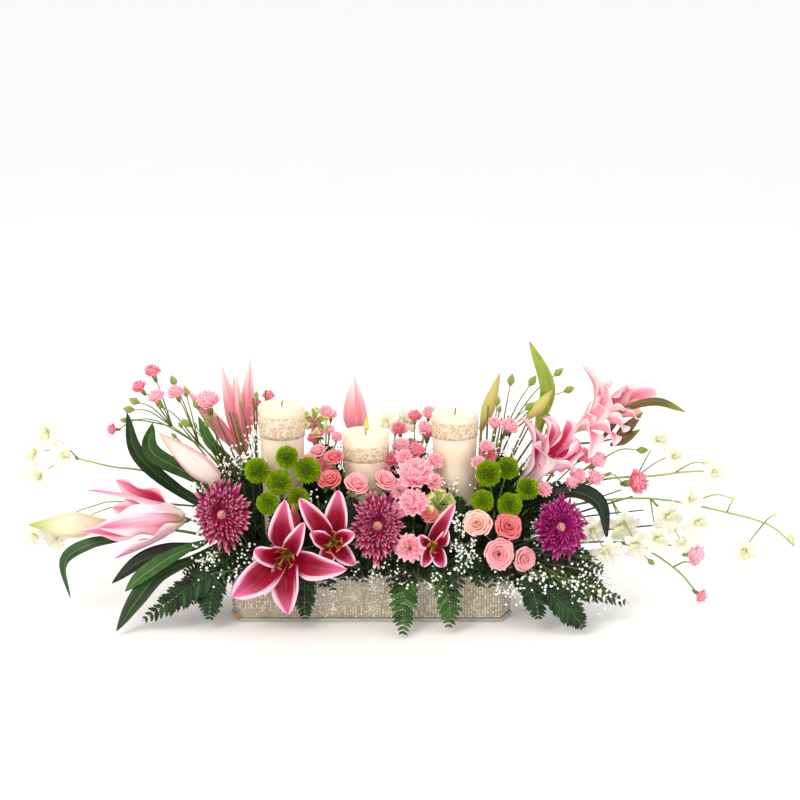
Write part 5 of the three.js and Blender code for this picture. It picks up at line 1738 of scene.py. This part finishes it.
SPRAYS = (
    ("carnations_upper_left", ((-176, 22, 98), (-214, 20, 190), (-252, 22, 236), (-302, 22, 274)), 5, (
        (3, -248, 30, 314, 18), (5, -332, 40, 356, 13), (4, -297, 42, 332, 6), (5, -358, 22, 300, 6),
        (5, -352, 30, 334, 12), (4, -280, 36, 316, 5.5), (4, -314, 26, 302, 5.5), (5, -392, 12, 272, 9),
        (5, -325, 22, 321, 13), (4, -296, 22, 328, 13), (3, -274, 20, 274, 6), (5, -350, 24, 310, 6),
        (3, -262, 32, 298, 6), (4, -366, 10, 287, 4.5),
    ), PINKS),
    ("carnations_right", ((184, 4, 90), (250, -8, 150), (300, -14, 200), (336, -4, 222)), 4, (
        (4, 339, -2, 228, 15), (3, 400, -30, 201, 19), (4, 400, 0, 243, 6),
    ), PINKS),
    ("carnations_upper_right", ((150, 30, 98), (172, 26, 180), (196, 30, 250)), 4, (
        (4, 211, 50, 330, 6.5), (4, 240, 50, 330, 6.5), (3, 209, 10, 278, 14), (4, 276, 32, 350, 6),
        (4, 291, 30, 326, 6), (4, 233, 28, 298, 6), (3, 190, 20, 306, 5.5), (3, 176, -22, 243, 13),
    ), PINKS),
    ("carnations_far_right", (
        (184, -30, 78), (270, -34, 100), (340, -38, 110), (402, -42, 105), (460, -45, 68), (490, -45, 34),
    ), 7, (
        (5, 488, -48, 94, 17), (7, 499, -45, 26, 11), (6, 482, -38, 77, 4.5), (4, 416, -48, 86, 4.5),
    ), PINKS),
    ("orchids_left", ((-184, 24, 84), (-260, 46, 150), (-340, 40, 196), (-393, 16, 212), (-443, 4, 228)), 6, (
        (6, -490, 8, 268, 24), (6, -462, -4, 236, 22), (6, -502, -2, 203, 24), (2, -482, 10, 104, 22),
        (2, -514, 4, 106, 21), (6, -508, 4, 238, 20),
    ), ORCHIDS),
    ("orchids_right_long", (
        (184, -14, 80), (270, -22, 150), (345, -30, 172), (430, -38, 177), (525, -45, 160), (596, -50, 140),
        (634, -54, 108),
    ), 9, (
        (8, 560, -54, 102, 20), (9, 633, -53, 110, 6), (5, 442, -56, 156, 24), (6, 486, -60, 148, 22),
        (6, 538, -42, 180, 2.5), (4, 376, -36, 136, 26), (3, 350, -56, 102, 24), (5, 464, -62, 118, 20),
        (4, 396, -54, 112, 22), (3, 330, -54, 134, 21), (5, 426, -64, 124, 21), (6, 476, -58, 182, 17),
        (7, 540, -48, 178, 3), (8, 600, -50, 154, 3),
    ), ORCHIDS),
    ("orchids_right_upper", (
        (184, 24, 84), (260, 14, 160), (345, -8, 198), (425, -10, 205), (470, -10, 211), (514, -10, 213),
    ), 7, (
        (7, 516, -16, 214, 16), (5, 432, 2, 258, 20), (5, 456, -4, 233, 17), (6, 498, -8, 225, 4),
    ), ORCHIDS),
    ("orchids_middle", ((26, 40, 98), (28, 56, 180), (36, 60, 250)), 4, (
        (4, 22, 56, 272, 20), (4, 52, 58, 274, 20),
    ), ORCHIDS),
)
OUT, OVER = (0, -1, 0.35), (0, -0.6, 1)
FERNS = {
    "left": (((-150, -66, 84), (-190, -88, 84), (-232, -96, 80)), (
        Frond(((-230, -96, 80), (-262, -104, 64), (-296, -116, 44), (-338, -128, 16)), 30, 16, OVER),
        Frond(((-229, -96, 80), (-232, -108, 64), (-236, -120, 42), (-238, -126, 16)), 23, 12, OUT),
    )),
    "front_left": (((-98, -66, 82), (-98, -78, 84), (-98, -90, 78)), (
        Frond(((-98, -89, 80), (-98, -98, 62), (-98, -108, 38), (-97, -116, 12)), 20, 12, OUT),
    )),
    "front_middle": (((80, -66, 84), (78, -84, 88), (70, -94, 84)), (
        Frond(((71, -93, 84), (54, -104, 72), (48, -132, 34), (48, -163, 5)), 25, 14, OUT),
        Frond(((71, -93, 84), (104, -102, 76), (116, -124, 40), (115, -142, 8)), 25, 13, OUT),
    )),
    "right": (((160, -66, 76), (196, -90, 84), (224, -98, 80)), (
        Frond(((222, -98, 81), (236, -112, 64), (244, -126, 44), (247, -136, 20)), 23, 12, OUT),
        Frond(((220, -97, 82), (280, -104, 72), (334, -96, 54), (386, -84, 28)), 30, 17, OVER),
        Frond(((222, -98, 80), (262, -128, 60), (292, -142, 38), (314, -146, 10)), 24, 14, OUT, 0.3),
    )),
    "back": (((20, 66, 84), (20, 82, 90), (20, 94, 88)), (
        Frond(((20, 92, 89), (-30, 104, 84), (-70, 130, 50), (-90, 148, 10)), 26, 12, (0, 1, 0.35)),
        Frond(((20, 92, 89), (70, 104, 84), (106, 130, 46), (124, 148, 10)), 26, 12, (0, 1, 0.35)),
    )),
}
CLOUDS = (
    ("breath_left", (
        (-250, -74, 96, 24, 60), (-236, -84, 66, 22, 50), (-196, -92, 78, 22, 56), (-158, -98, 62, 20, 46),
    ), 41),
    ("breath_upper_left", (
        (-186, -18, 238, 24, 50), (-210, 4, 222, 22, 40), (-176, 10, 262, 18, 26), (-216, 50, 200, 26, 40),
    ), 42),
    ("breath_front_right", (
        (136, -92, 150, 24, 60), (138, -96, 106, 24, 60), (124, -48, 200, 20, 22), (48, -100, 74, 22, 50),
        (96, -100, 66, 22, 46), (6, -98, 78, 20, 36),
    ), 43),
    ("breath_right", (
        (250, -110, 76, 26, 66), (300, -112, 66, 28, 70), (346, -104, 48, 24, 50), (206, -112, 58, 24, 50),
        (330, -92, 92, 24, 40), (246, -60, 120, 22, 36),
    ), 44),
    ("breath_scattered", (
        (-78, -66, 184, 16, 26), (194, -18, 250, 26, 40), (232, 10, 224, 24, 36), (24, 100, 110, 26, 50),
        (-70, 108, 100, 26, 50), (-196, 96, 104, 28, 50), (226, 96, 92, 28, 50), (-48, 60, 236, 22, 30),
        (96, 70, 220, 24, 36), (-250, 66, 130, 26, 40), (260, 60, 140, 26, 40), (96, 110, 80, 24, 40),
        (-262, -4, 186, 14, 20), (-250, -60, 140, 18, 30),
    ), 45),
)
VEIL = (
    (-176, 104), (-140, 84), (-60, 84), (-30, 92), (30, 98), (70, 88), (120, 84), (150, 92), (180, 80),
    (-190, 140), (46, 130), (132, 120), (-110, 76), (-60, 66), (200, 60), (210, 84),
)


@dataclass
class Arrangement:
    """All the flowers, leaves and filling, in the order in which they are put in the foam.

    Attributes:
        candles, rng: the candles that leaves keep clear of, and the numbers that the filling differs by.
    """

    candles: tuple[Candle, ...]
    rng: random.Random = field(default_factory=lambda: random.Random(4))

    # -- lilies
    def lilies(self) -> None:
        """Builds the seven open lilies."""
        for name, flower in LILIES.items():
            front = "front" in name
            faces = (BLUSH_FACE, BLUSH_BACK) if name == "upper_right" else (PINK_FACE, PINK_BACK)
            if front:
                faces = (LILY_FACE, LILY_BACK)
            piece = Piece(f"lily_{name}_bloom", *faces, PALE_STALK, ANTHER, STYLE)
            flower.carve(piece, random.Random(f"lily_{name}"))
            if flower.foot:
                piece.stem(Rib((*planted(*flower.foot).points, Vector(flower.base))), 2.6, 2, 8, 8)
            piece.show("crimson_lily" if front else "pink_lily", [f"lily_{name}"], thick=0.7, reverse=1)

    def spikes(self) -> None:
        """Builds the lilies' stems with their leaves and closed buds."""
        for spike in SPIKES:
            suffix = "leaves" if spike.slot == "leaf" else "buds"
            piece = Piece(f"{spike.node}_{suffix}", *spike.finishes)
            main = planted(*spike.route)
            piece.stem(main, 2.8, 1, 8, 10)
            for first, *rest in spike.twigs:
                start = main.joint(first) if isinstance(first, float) else first
                piece.stem(Rib.through(start, *rest), 2, 1, 6, 6)
            for foot, tip, radius in spike.buds:
                ClosedBud(foot, tip, radius, 2).carve(piece, spike.bud)
            for route, width, slot, facing in spike.leaves:
                rib = Rib.through(*route)
                side = (rib.at(1) - rib.at(0)).cross(Vector(facing)).normalized()
                leaf = Blade(rib, side, width, Outline.LATE_LEAF, 6, 24, 0.22, 0.08, waves=1.5, keel=0.14)
                piece.add(leaf, slot)
            piece.show(spike.slot, [spike.node], thick=0.6 if spike.leaves else 0.0)

    # -- chrysanthemums
    def mums(self) -> None:
        """Builds the four spider chrysanthemums."""
        flowers = (
            ("left", ((-218, -84, 165), (-0.15, -0.9, 0.4), 46, 60, 3), ((-184, -52, 92), (-200, -60, 128))),
            ("middle", ((10, -92, 150), (0.05, -0.9, 0.42), 41, 60, 5), ((8, -58, 98), (9, -66, 124))),
            ("right", ((278, -84, 146), (0.3, -0.85, 0.4), 46, 53, 7), ((184, -48, 92), (226, -62, 114))),
            ("back", ((-120, 100, 150), (-0.1, 0.9, 0.4), 50, 52, 11), ((-116, 58, 98), (-118, 70, 124))),
        )
        for name, shape, route in flowers:
            flower = SpiderMum(*shape)
            piece = Piece(f"mum_{name}_bloom", MUM_VIVID if name == "right" else MUM_RAY, MUM_EYE, STALK)
            flower.carve(piece)
            piece.stem(Rib((*planted(*route).points, Vector(flower.centre))), 1.9, 2, 6, 8)
            piece.show("purple_mum", [f"mum_{name}"])

    def buttons(self) -> None:
        """Builds the three bunches of button chrysanthemums."""
        # The core ball is darker than the rays: painted shade deep between them.
        core = Grain("pom_core", "384a06", "688410", scale=600.0)
        bunches = {
            "left": (((-132, -44, 98), (-134, -42, 168)), (
                (-124, -54, 246, 15), (-94, -52, 226, 17), (-169, -48, 224, 17), (-136, -62, 210, 17),
                (-107, -69, 187, 14), (-152, -78, 182, 15),
            )),
            "right": (((176, -38, 98), (186, -42, 160)), (
                (174, -60, 223, 17), (204, -42, 226, 15), (233, -56, 198, 15), (206, -74, 178, 16),
                (165, -76, 185, 15),
            )),
            "back": (((-20, 58, 98), (-26, 64, 150)), (
                (-26, 94, 196, 18), (-52, 80, 170, 17), (0, 84, 166, 17),
            )),
        }
        for name, (route, heads) in bunches.items():
            piece = Piece(f"poms_{name}_buttons", POM_RAY, core, PALE_STALK)
            piece.stem(planted(*route), 1.9, 2)
            joint = Vector(route[1])
            for k, (x, y, z, radius) in enumerate(heads):
                out = (Vector((x, y, z)) - joint).normalized() * 0.7
                axis = out + Vector((0, 0.9 if name == "back" else -0.9, 0.25))
                Button((x, y, z), radius, axis, k + len(name)).carve(piece)
                piece.stem(Rib.bow(joint, (x, y, z), UP * -2), 1.3, 2, 5, 4)
            piece.show("green_pom", [f"poms_{name}"])

    # -- roses and carnations
    def bunch(
        self, name: str, kind: type[Head], route: Sequence[Place], heads: Sequence[Place], outward: Place
    ) -> None:
        """Builds a bunch of roses or carnations on twigs from one joint.

        Args:
            name: the CAD node it stands for, or a name of its own.
            kind: what its heads are.
            route: the bunch's stem, the last place being the joint.
            heads: x, y, z, radius and material slot of each head.
            outward: the direction that the bunch faces.
        """
        rose = kind is Rose
        casts = (ROSE_PINK, ROSE_CREAM, ROSE_CORAL, CARNATION_DEEP)
        if not rose:
            casts = (CARNATION_PINK, *[CARNATION_DEEP] * 3)
        piece = Piece(f"{name}_heads", *casts, PALE_STALK)
        piece.stem(planted(*route), 1.9, 4)
        joint = Vector(route[-1])
        for k, (x, y, z, radius, cast) in enumerate(heads):
            centre = Vector((x, y, z))
            away = ((centre - joint).normalized() * 0.6 + Vector(outward)).normalized()
            kind(centre, radius, away, k + len(name), cast).carve(piece)
            neck = centre - away * (0.8 if rose else 1.3) * radius
            piece.stem(Rib.bow(joint, neck), 1.3, 4, 5, 4)
        node = [name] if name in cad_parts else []
        piece.show("rose" if rose else "carnation", node, thick=0.5 if rose else 0.0)

    def trumpet(self) -> None:
        """Builds the green-yellow trumpet flower between the roses."""
        piece = Piece("trumpet_flower", TRUMPET, TRUMPET, PALE_STALK)
        florets = (((80, -62, 128), (100, -58, 172), 1.0), ((-70, 12, 200), (-86, 14, 282), 0.7))
        for foot, place, size in florets:
            base, axis = Vector(place), Vector((0.3, -0.8, 0.5)).normalized()
            arm = Vector((0, 0.5, 0.85)) * 15 * size
            turns = (Matrix.Rotation(k * math.pi / 3, 3, axis) for k in range(6))
            tips = [base + axis * 22 * size + turn @ arm for turn in turns]
            petals = tuple((*tip, 17.0 * size) for tip in tips)
            Lily(place, tuple(axis), petals, 18 * size, 3, 3, True).carve(piece, random.Random(2))
            piece.stem(Rib.bow(foot, base), 1.5, 2, 6, 6)
        piece.show("green_bud", thick=0.5)

    def spray(
        self, name: str, route: Sequence[Place], steps: int, heads: Sequence[Place],
        finishes: Sequence[Finish],
    ) -> None:
        """Builds a main stem with twigs that carry flowers and buds.

        Args:
            name: the CAD node it stands for.
            route: the main stem.
            steps: how many joints it is cut into.
            heads: each twig's joint, and its head's place and radius; small heads are buds.
            finishes: the flower's two finishes and the bud's.
        """
        orchid = finishes[0] is ORCHID_WHITE
        piece = Piece(f"{name}_spray", *finishes, STALK, ORCHID_STALK if orchid else PALE_STALK)
        rib = planted(*route)
        piece.stem(rib, 2.0, 4, 6, 20, 0.7)
        for number, (joint, x, y, z, radius) in enumerate(heads):
            start, end = rib.joint(joint / steps), Vector((x, y, z))
            way = (end - start).normalized()
            rise = 0.14 * abs(end.x - start.x) - (0.08 * radius if orchid else 0)
            bend = start.lerp(end, 0.6) + UP * rise
            if radius < 9:
                tip = end + (end - bend).normalized() * 3.2 * radius
                ClosedBud(tuple(end), tuple(tip), radius, 0.5).carve(piece, 2)
            elif orchid:
                facing = way * 0.5 + Vector((0, -0.9, 0.1))
                Orchid((x, y, z), radius, facing, 2.4 * math.sin(7 * number)).carve(piece)
            else:
                axis = (way + Vector((0, -0.45, 0.2))).normalized()
                Carnation((x, y, z), radius, axis, number + len(name), int(number % 3 == 1)).carve(piece)
                end = end - axis * radius * 1.3
            piece.stem(Rib.through(start, bend, end), 1.2, 4, 5, 6)
        piece.show("orchid" if orchid else "carnation", [name], thick=0.5 if orchid else 0.0)

    def stems(self) -> None:
        """Builds the bare olive stems that fan out behind the flowers at both ends."""
        rng = random.Random(61)
        olive = Stalk("olive_stalk", "3a3a18", "6c6a30")
        piece = Piece("bare_stems", olive, SMALL_BUD)
        fans = [((-168, 24, 96), (-300 + 11 * k, 26, 258 + 5 * k)) for k in range(14)]
        fans += [((164, 20, 96), (180 + 11 * k, 30, 300 - 4 * k)) for k in range(12)]
        fans += [((184, -12, 90), (350 + 22 * k, -20, 214 - 22 * k)) for k in range(5)]
        for root, end in fans:
            foot = Vector(root) + Vector((rng.uniform(-8, 8), rng.uniform(-16, 16), 0))
            tip = Vector(end) + Vector((rng.uniform(-8, 8), rng.uniform(-12, 12), rng.uniform(-10, 10)))
            bend = foot.lerp(tip, 0.5) + UP * rng.uniform(6, 16)
            piece.stem(Rib.through(foot, bend, tip), rng.uniform(1.6, 2.6), 0, 5, 8, 0.6)
            if rng.random() < 0.5:
                twig = tip + (tip - bend).normalized() * 14
                ClosedBud(tuple(tip), tuple(twig), rng.uniform(3, 4.5), 0).carve(piece, 1)
        piece.show("leaf")

    # -- fern, breath and filling
    def ferns(self) -> None:
        """Builds the fern fronds."""
        for name, (route, fronds) in FERNS.items():
            # The front-middle fronds take the lit copy of the fern finish: painted light.
            piece = Piece(f"fern_{name}_fronds", FERN_LIT if name == "front_middle" else FERN_LEAF, STALK)
            piece.stem(planted(*route), 1.3, 1, 6, 6)
            for k, frond in enumerate(fronds):
                frond.carve(piece, seed=k)
            piece.show("fern", [f"fern_{name}"], thick=0.35)

    def clear(self, place: Vector, margin: float = 4.0) -> bool:
        """Whether a place lies outside every candle, margin away from it."""
        for candle in self.candles:
            reach = math.hypot(place.x - candle.x, place.y)
            if place.z < candle.top + 5 and reach < candle.radius(place.z) + margin:
                return False
        return True

    def sprig(
        self, piece: Piece, route: tuple[Vector, ...], reach: float, pairs: int, face: Place, bare: float
    ) -> None:
        """Adds a small dark frond to the filling."""
        leaf, seed = self.rng.choice((0, 0, 2)), self.rng.randrange(99)
        Frond(route, reach, pairs, face, bare, rows=4).carve(piece, leaf, 1, seed)

    def fringe(self) -> None:
        """Small dark fronds that arch over the tray's rim all round, and lie out at its ends."""
        rng = self.rng
        piece = Piece("fringe_foliage", FILL_LEAF, STALK, FERN_LEAF)
        for k in range(122):
            side, share = rng.uniform(-0.5, 0.5), k % 48 / 47
            if k < 96:
                x, y = mix(-190, 190, share), -1 if k < 48 else 1
                root, out = Vector((x, 60 * y, 92)), Vector((side + x / 400, y, 0)).normalized()
            else:
                x, y = (-1 if k < 109 else 1), mix(-52, 52, k % 13 / 12)
                root, out = Vector((180 * x, y, 92)), Vector((x, y / 60 + side * 0.6, 0)).normalized()
            reach, low = rng.uniform(30, 64), rng.uniform(-42, 4)
            mid = root + out * reach * 0.4 + UP * rng.uniform(4, 16)
            late = root + out * reach * 0.85 + UP * (low + 6) * 0.4
            route = (root, mid, late, root + out * reach * 1.15 + UP * low)
            self.sprig(piece, route, rng.uniform(14, 21), 7, out + UP * 0.5, 0.1)
        for k in range(48):
            side, far = (1, 368) if k < 30 else (-1, 290)
            end = Vector((side * rng.uniform(232, far), rng.uniform(-118, -40), rng.uniform(22, 92)))
            root, rise = Vector((side * 178, rng.uniform(-58, -30), 92)), UP * rng.uniform(6, 22)
            route = (root, root.lerp(end, 0.35) + rise, root.lerp(end, 0.75) + rise * 0.7, end)
            self.sprig(piece, route, rng.uniform(12, 18), 12, (0, -1, 0.6), 0.3)
        piece.show("leaf")

    @staticmethod
    def hides(place: Vector) -> bool:
        """Whether a floret at this place stands before the face of a bloom of the front."""
        faces = (
            (96, 130, 26), (10, 150, 44), (-218, 165, 46), (278, 146, 44), (157, 157, 19), (203, 152, 19),
            (189, 114, 21), (228, 104, 16), (58, 121, 17), (-55, 150, 44), (-120, 108, 52), (87, 166, 14),
            (165, 185, 14), (206, 178, 15),
        )
        return place.y < -58 and any(math.hypot(place.x - x, place.z - z) < r for x, z, r in faces)

    @staticmethod
    def behind(place: Vector) -> bool:
        """Whether a place lies behind the faces of the blooms, seen from the front or from the back."""
        return abs(place.y) < 66 - 0.1 * max(0.0, place.z - 90)

    def filling(self) -> None:
        """Dark sprigs that stand in the foam between the flowers, and rows of taller ones by the candles."""
        rng, made = self.rng, 0
        piece = Piece("filling_foliage", FILL_LEAF, STALK, FERN_LEAF)
        while made < 210:
            x, y = rng.uniform(-182, 182), rng.uniform(-62, 62)
            lean_x, lean_y = x / 190 + rng.uniform(-0.3, 0.3), y / 69 + rng.uniform(-0.3, 0.3)
            lean = Vector((lean_x, lean_y, rng.uniform(0.7, 1.8)))
            root, reach = Vector((x, y, 96)), rng.uniform(40, 118)
            tip = root + lean.normalized() * reach
            end = tip + Vector((lean.x, lean.y, -0.4)).normalized() * 10
            route = (root, root.lerp(tip, 0.5) + UP * 6, tip, end)
            if all(self.clear(place, 13) and self.behind(place) for place in route):
                face = (0.3 * lean.x, -1.0 if y < 20 else 1.0, 0.5)
                self.sprig(piece, route, rng.uniform(15, 23), 8, face, 0.2)
                made += 1
        # The screens are rows of near-black sprigs that fill the dark gaps behind the blooms: partly foliage,
        # partly painted shade.
        screens = (
            (-212, -160, 0, 20, 236, -22), (-100, -44, 0, 14, 262, 0), (34, 90, 0, 14, 262, 0),
            (162, 200, 0, 18, 246, 26), (176, 186, 0, 24, 206, 110), (170, 184, -44, 12, 150, 56),
            (104, 154, -53, 12, 190, 0),
            (-34, 22, -53, 12, 184, 0), (-164, -112, -53, 10, 176, 0),
        )
        for low, high, row, count, top, tilt in screens:
            for _ in range(count):
                deep = row + rng.uniform(-7, 7) if row else rng.uniform(-18, 50)
                root = Vector((max(-182, min(182, rng.uniform(low, high))), deep, 96))
                aside = tilt * rng.uniform(0, 1.2) + rng.uniform(-12, 12)
                end = root + Vector((aside, rng.uniform(-10, 10), 0))
                end.z = rng.uniform(0.68, 1) * top
                route = (root, root.lerp(end, 0.35) + UP * 6, root.lerp(end, 0.7) + UP * 5, end)
                if all(self.clear(place, 10) for place in route):
                    self.sprig(piece, route, rng.uniform(13, 19), 11, (0, -1, 0.3), 0.25)
        piece.show("leaf")

    def breath(self, name: str, stems: Iterable[Place], seed: int) -> None:
        """Builds baby's breath.

        Args:
            name: the CAD node it stands for, or a name of its own.
            stems: for each spray the middle of its cloud, the cloud's radius and how many florets it has.
            seed: what the sprays differ by.
        """
        rng = random.Random(seed)
        piece = Piece(f"{name}_cloud", BREATH_WHITE, PALE_STALK)
        for x, y, z, size, count in stems:
            foot = Vector((max(-178, min(178, 0.94 * x)), max(-60, min(60, 0.9 * y)), 94))
            heart = Vector((x, y, z))
            bend = foot.lerp(heart, 0.5) + UP * 0.12 * (heart - foot).length
            main = Rib.through(foot - (bend - foot).normalized() * 12, foot, bend, heart)
            piece.stem(main, 0.9, 1, 4, 8, 0.5)
            for k in range(count):
                dart = Vector((rng.gauss(0, 1), rng.gauss(0, 0.8), rng.gauss(0, 0.8)))
                head = heart + dart.normalized() * size * rng.uniform(0.2, 1.25)
                if not self.clear(head, 3) or head.z < 6 or self.hides(head):
                    continue
                start = main.at(rng.uniform(0.7, 1.0))
                if k % 3 == 0:
                    piece.stem(Rib.bow(start, head, dart), 0.4, 1, 3, 3)
                part = fresh()
                bmesh.ops.create_icosphere(part, subdivisions=1, radius=rng.uniform(1.4, 2.3), calc_uvs=True)
                for vert in part.verts:
                    vert.co *= rng.uniform(0.8, 1.2)
                bmesh.ops.translate(part, vec=head, verts=part.verts[:])
                piece.gather(part, 0)
        piece.show("breath", [name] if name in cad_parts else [])

    def build(self) -> None:
        """Builds everything that stands in the foam."""
        self.fringe()
        self.filling()
        self.ferns()
        self.spikes()
        self.lilies()
        self.mums()
        self.buttons()
        for bunch in BUNCHES:
            self.bunch(*bunch)
        self.trumpet()
        self.stems()
        for spray in SPRAYS:
            self.spray(*spray)
        for cloud in CLOUDS:
            self.breath(*cloud)
        veil = [(x + 4 * math.sin(x), -94 - 8 * math.cos(3 * x), z, 22, 26) for x, z in VEIL]
        self.breath("breath_veil", veil, 46)


# ------------------------------------------------------------------ studio
LAMPS_LOOK_AT = (0, 0, 0.15)


@dataclass(frozen=True)
class Studio:
    """A plain pale floor, soft light and the camera.

    Attributes:
        eye, tilt, lens: the camera's place in metres, how far it looks down in degrees, and its lens.
    """

    eye: Place = (0.04339, -2.91711, 1.02073)
    tilt: float = 13.5
    lens: float = 90.0

    def camera(self) -> None:
        """Makes the camera."""
        data = bpy.data.cameras.new("camera")
        data.lens, data.sensor_width = self.lens, 36.0
        data.clip_start, data.clip_end = 0.05, 60.0
        camera = linked("camera", data)
        camera.location = self.eye
        camera.rotation_euler = (math.radians(90 - self.tilt), 0, 0)
        bpy.context.scene.camera = camera

    def floor(self) -> None:
        """Makes the floor."""
        part = fresh()
        bmesh.ops.create_grid(part, x_segments=1, y_segments=1, size=30.0)
        bmesh.ops.translate(part, vec=(0, 0, -0.0005), verts=part.verts[:])
        mesh = bpy.data.meshes.new("floor")
        part.to_mesh(mesh)
        part.free()
        floor = linked("floor", mesh)
        paper = Grain("floor_paper", "fcfcfc", "fefefe", scale=40.0, rough=0.95, height=0.0001)
        mesh.materials.append(paper.make())

    def lamp(self, name: str, place: Place, size: float, power: float, colour: str = "ffffff") -> None:
        """Makes a square soft lamp that looks at the middle of the arrangement."""
        data = bpy.data.lights.new(name, "AREA")
        data.size, data.energy, data.color = size, power, ink(colour)
        lamp = linked(name, data)
        lamp.location = place
        lamp.rotation_euler = (Vector(LAMPS_LOOK_AT) - Vector(place)).to_track_quat("-Z", "Y").to_euler()

    def build(self) -> None:
        """Makes the camera, the floor and the lights."""
        self.camera()
        self.floor()
        world = bpy.data.worlds.new("studio")
        bpy.context.scene.world = world
        world.use_nodes = True
        background = world.node_tree.nodes["Background"].inputs
        background["Color"].default_value = (1.0, 0.995, 0.985, 1.0)
        background["Strength"].default_value = 0.98
        self.lamp("key", (-1.6, -2.2, 2.6), 1.4, 46.0, "fff6ea")
        self.lamp("fill", (2.4, -1.2, 1.6), 1.8, 10.0)
        self.lamp("back", (0.2, 2.2, 2.2), 2.0, 14.0)
        bpy.context.scene.view_settings.view_transform = "Standard"


def report_size() -> None:
    """Updates the view layer."""
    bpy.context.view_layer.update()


def main() -> None:
    """Builds the centerpiece and its studio."""
    logging.basicConfig(level=logging.INFO, format="%(message)s")
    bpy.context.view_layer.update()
    candles = (
        Candle("left", -134, 314, (266, 299)),
        Candle("middle", -8, 272, (231, 254), lit=True),
        Candle("right", 126, 302, (266, 290)),
    )
    Container().build()
    for candle in candles:
        candle.build()
    Arrangement(candles).build()
    Studio().build()
    bpy.data.meshes.remove(Clump.scratch)
    report_size()


if __name__ == "__main__":
    main()
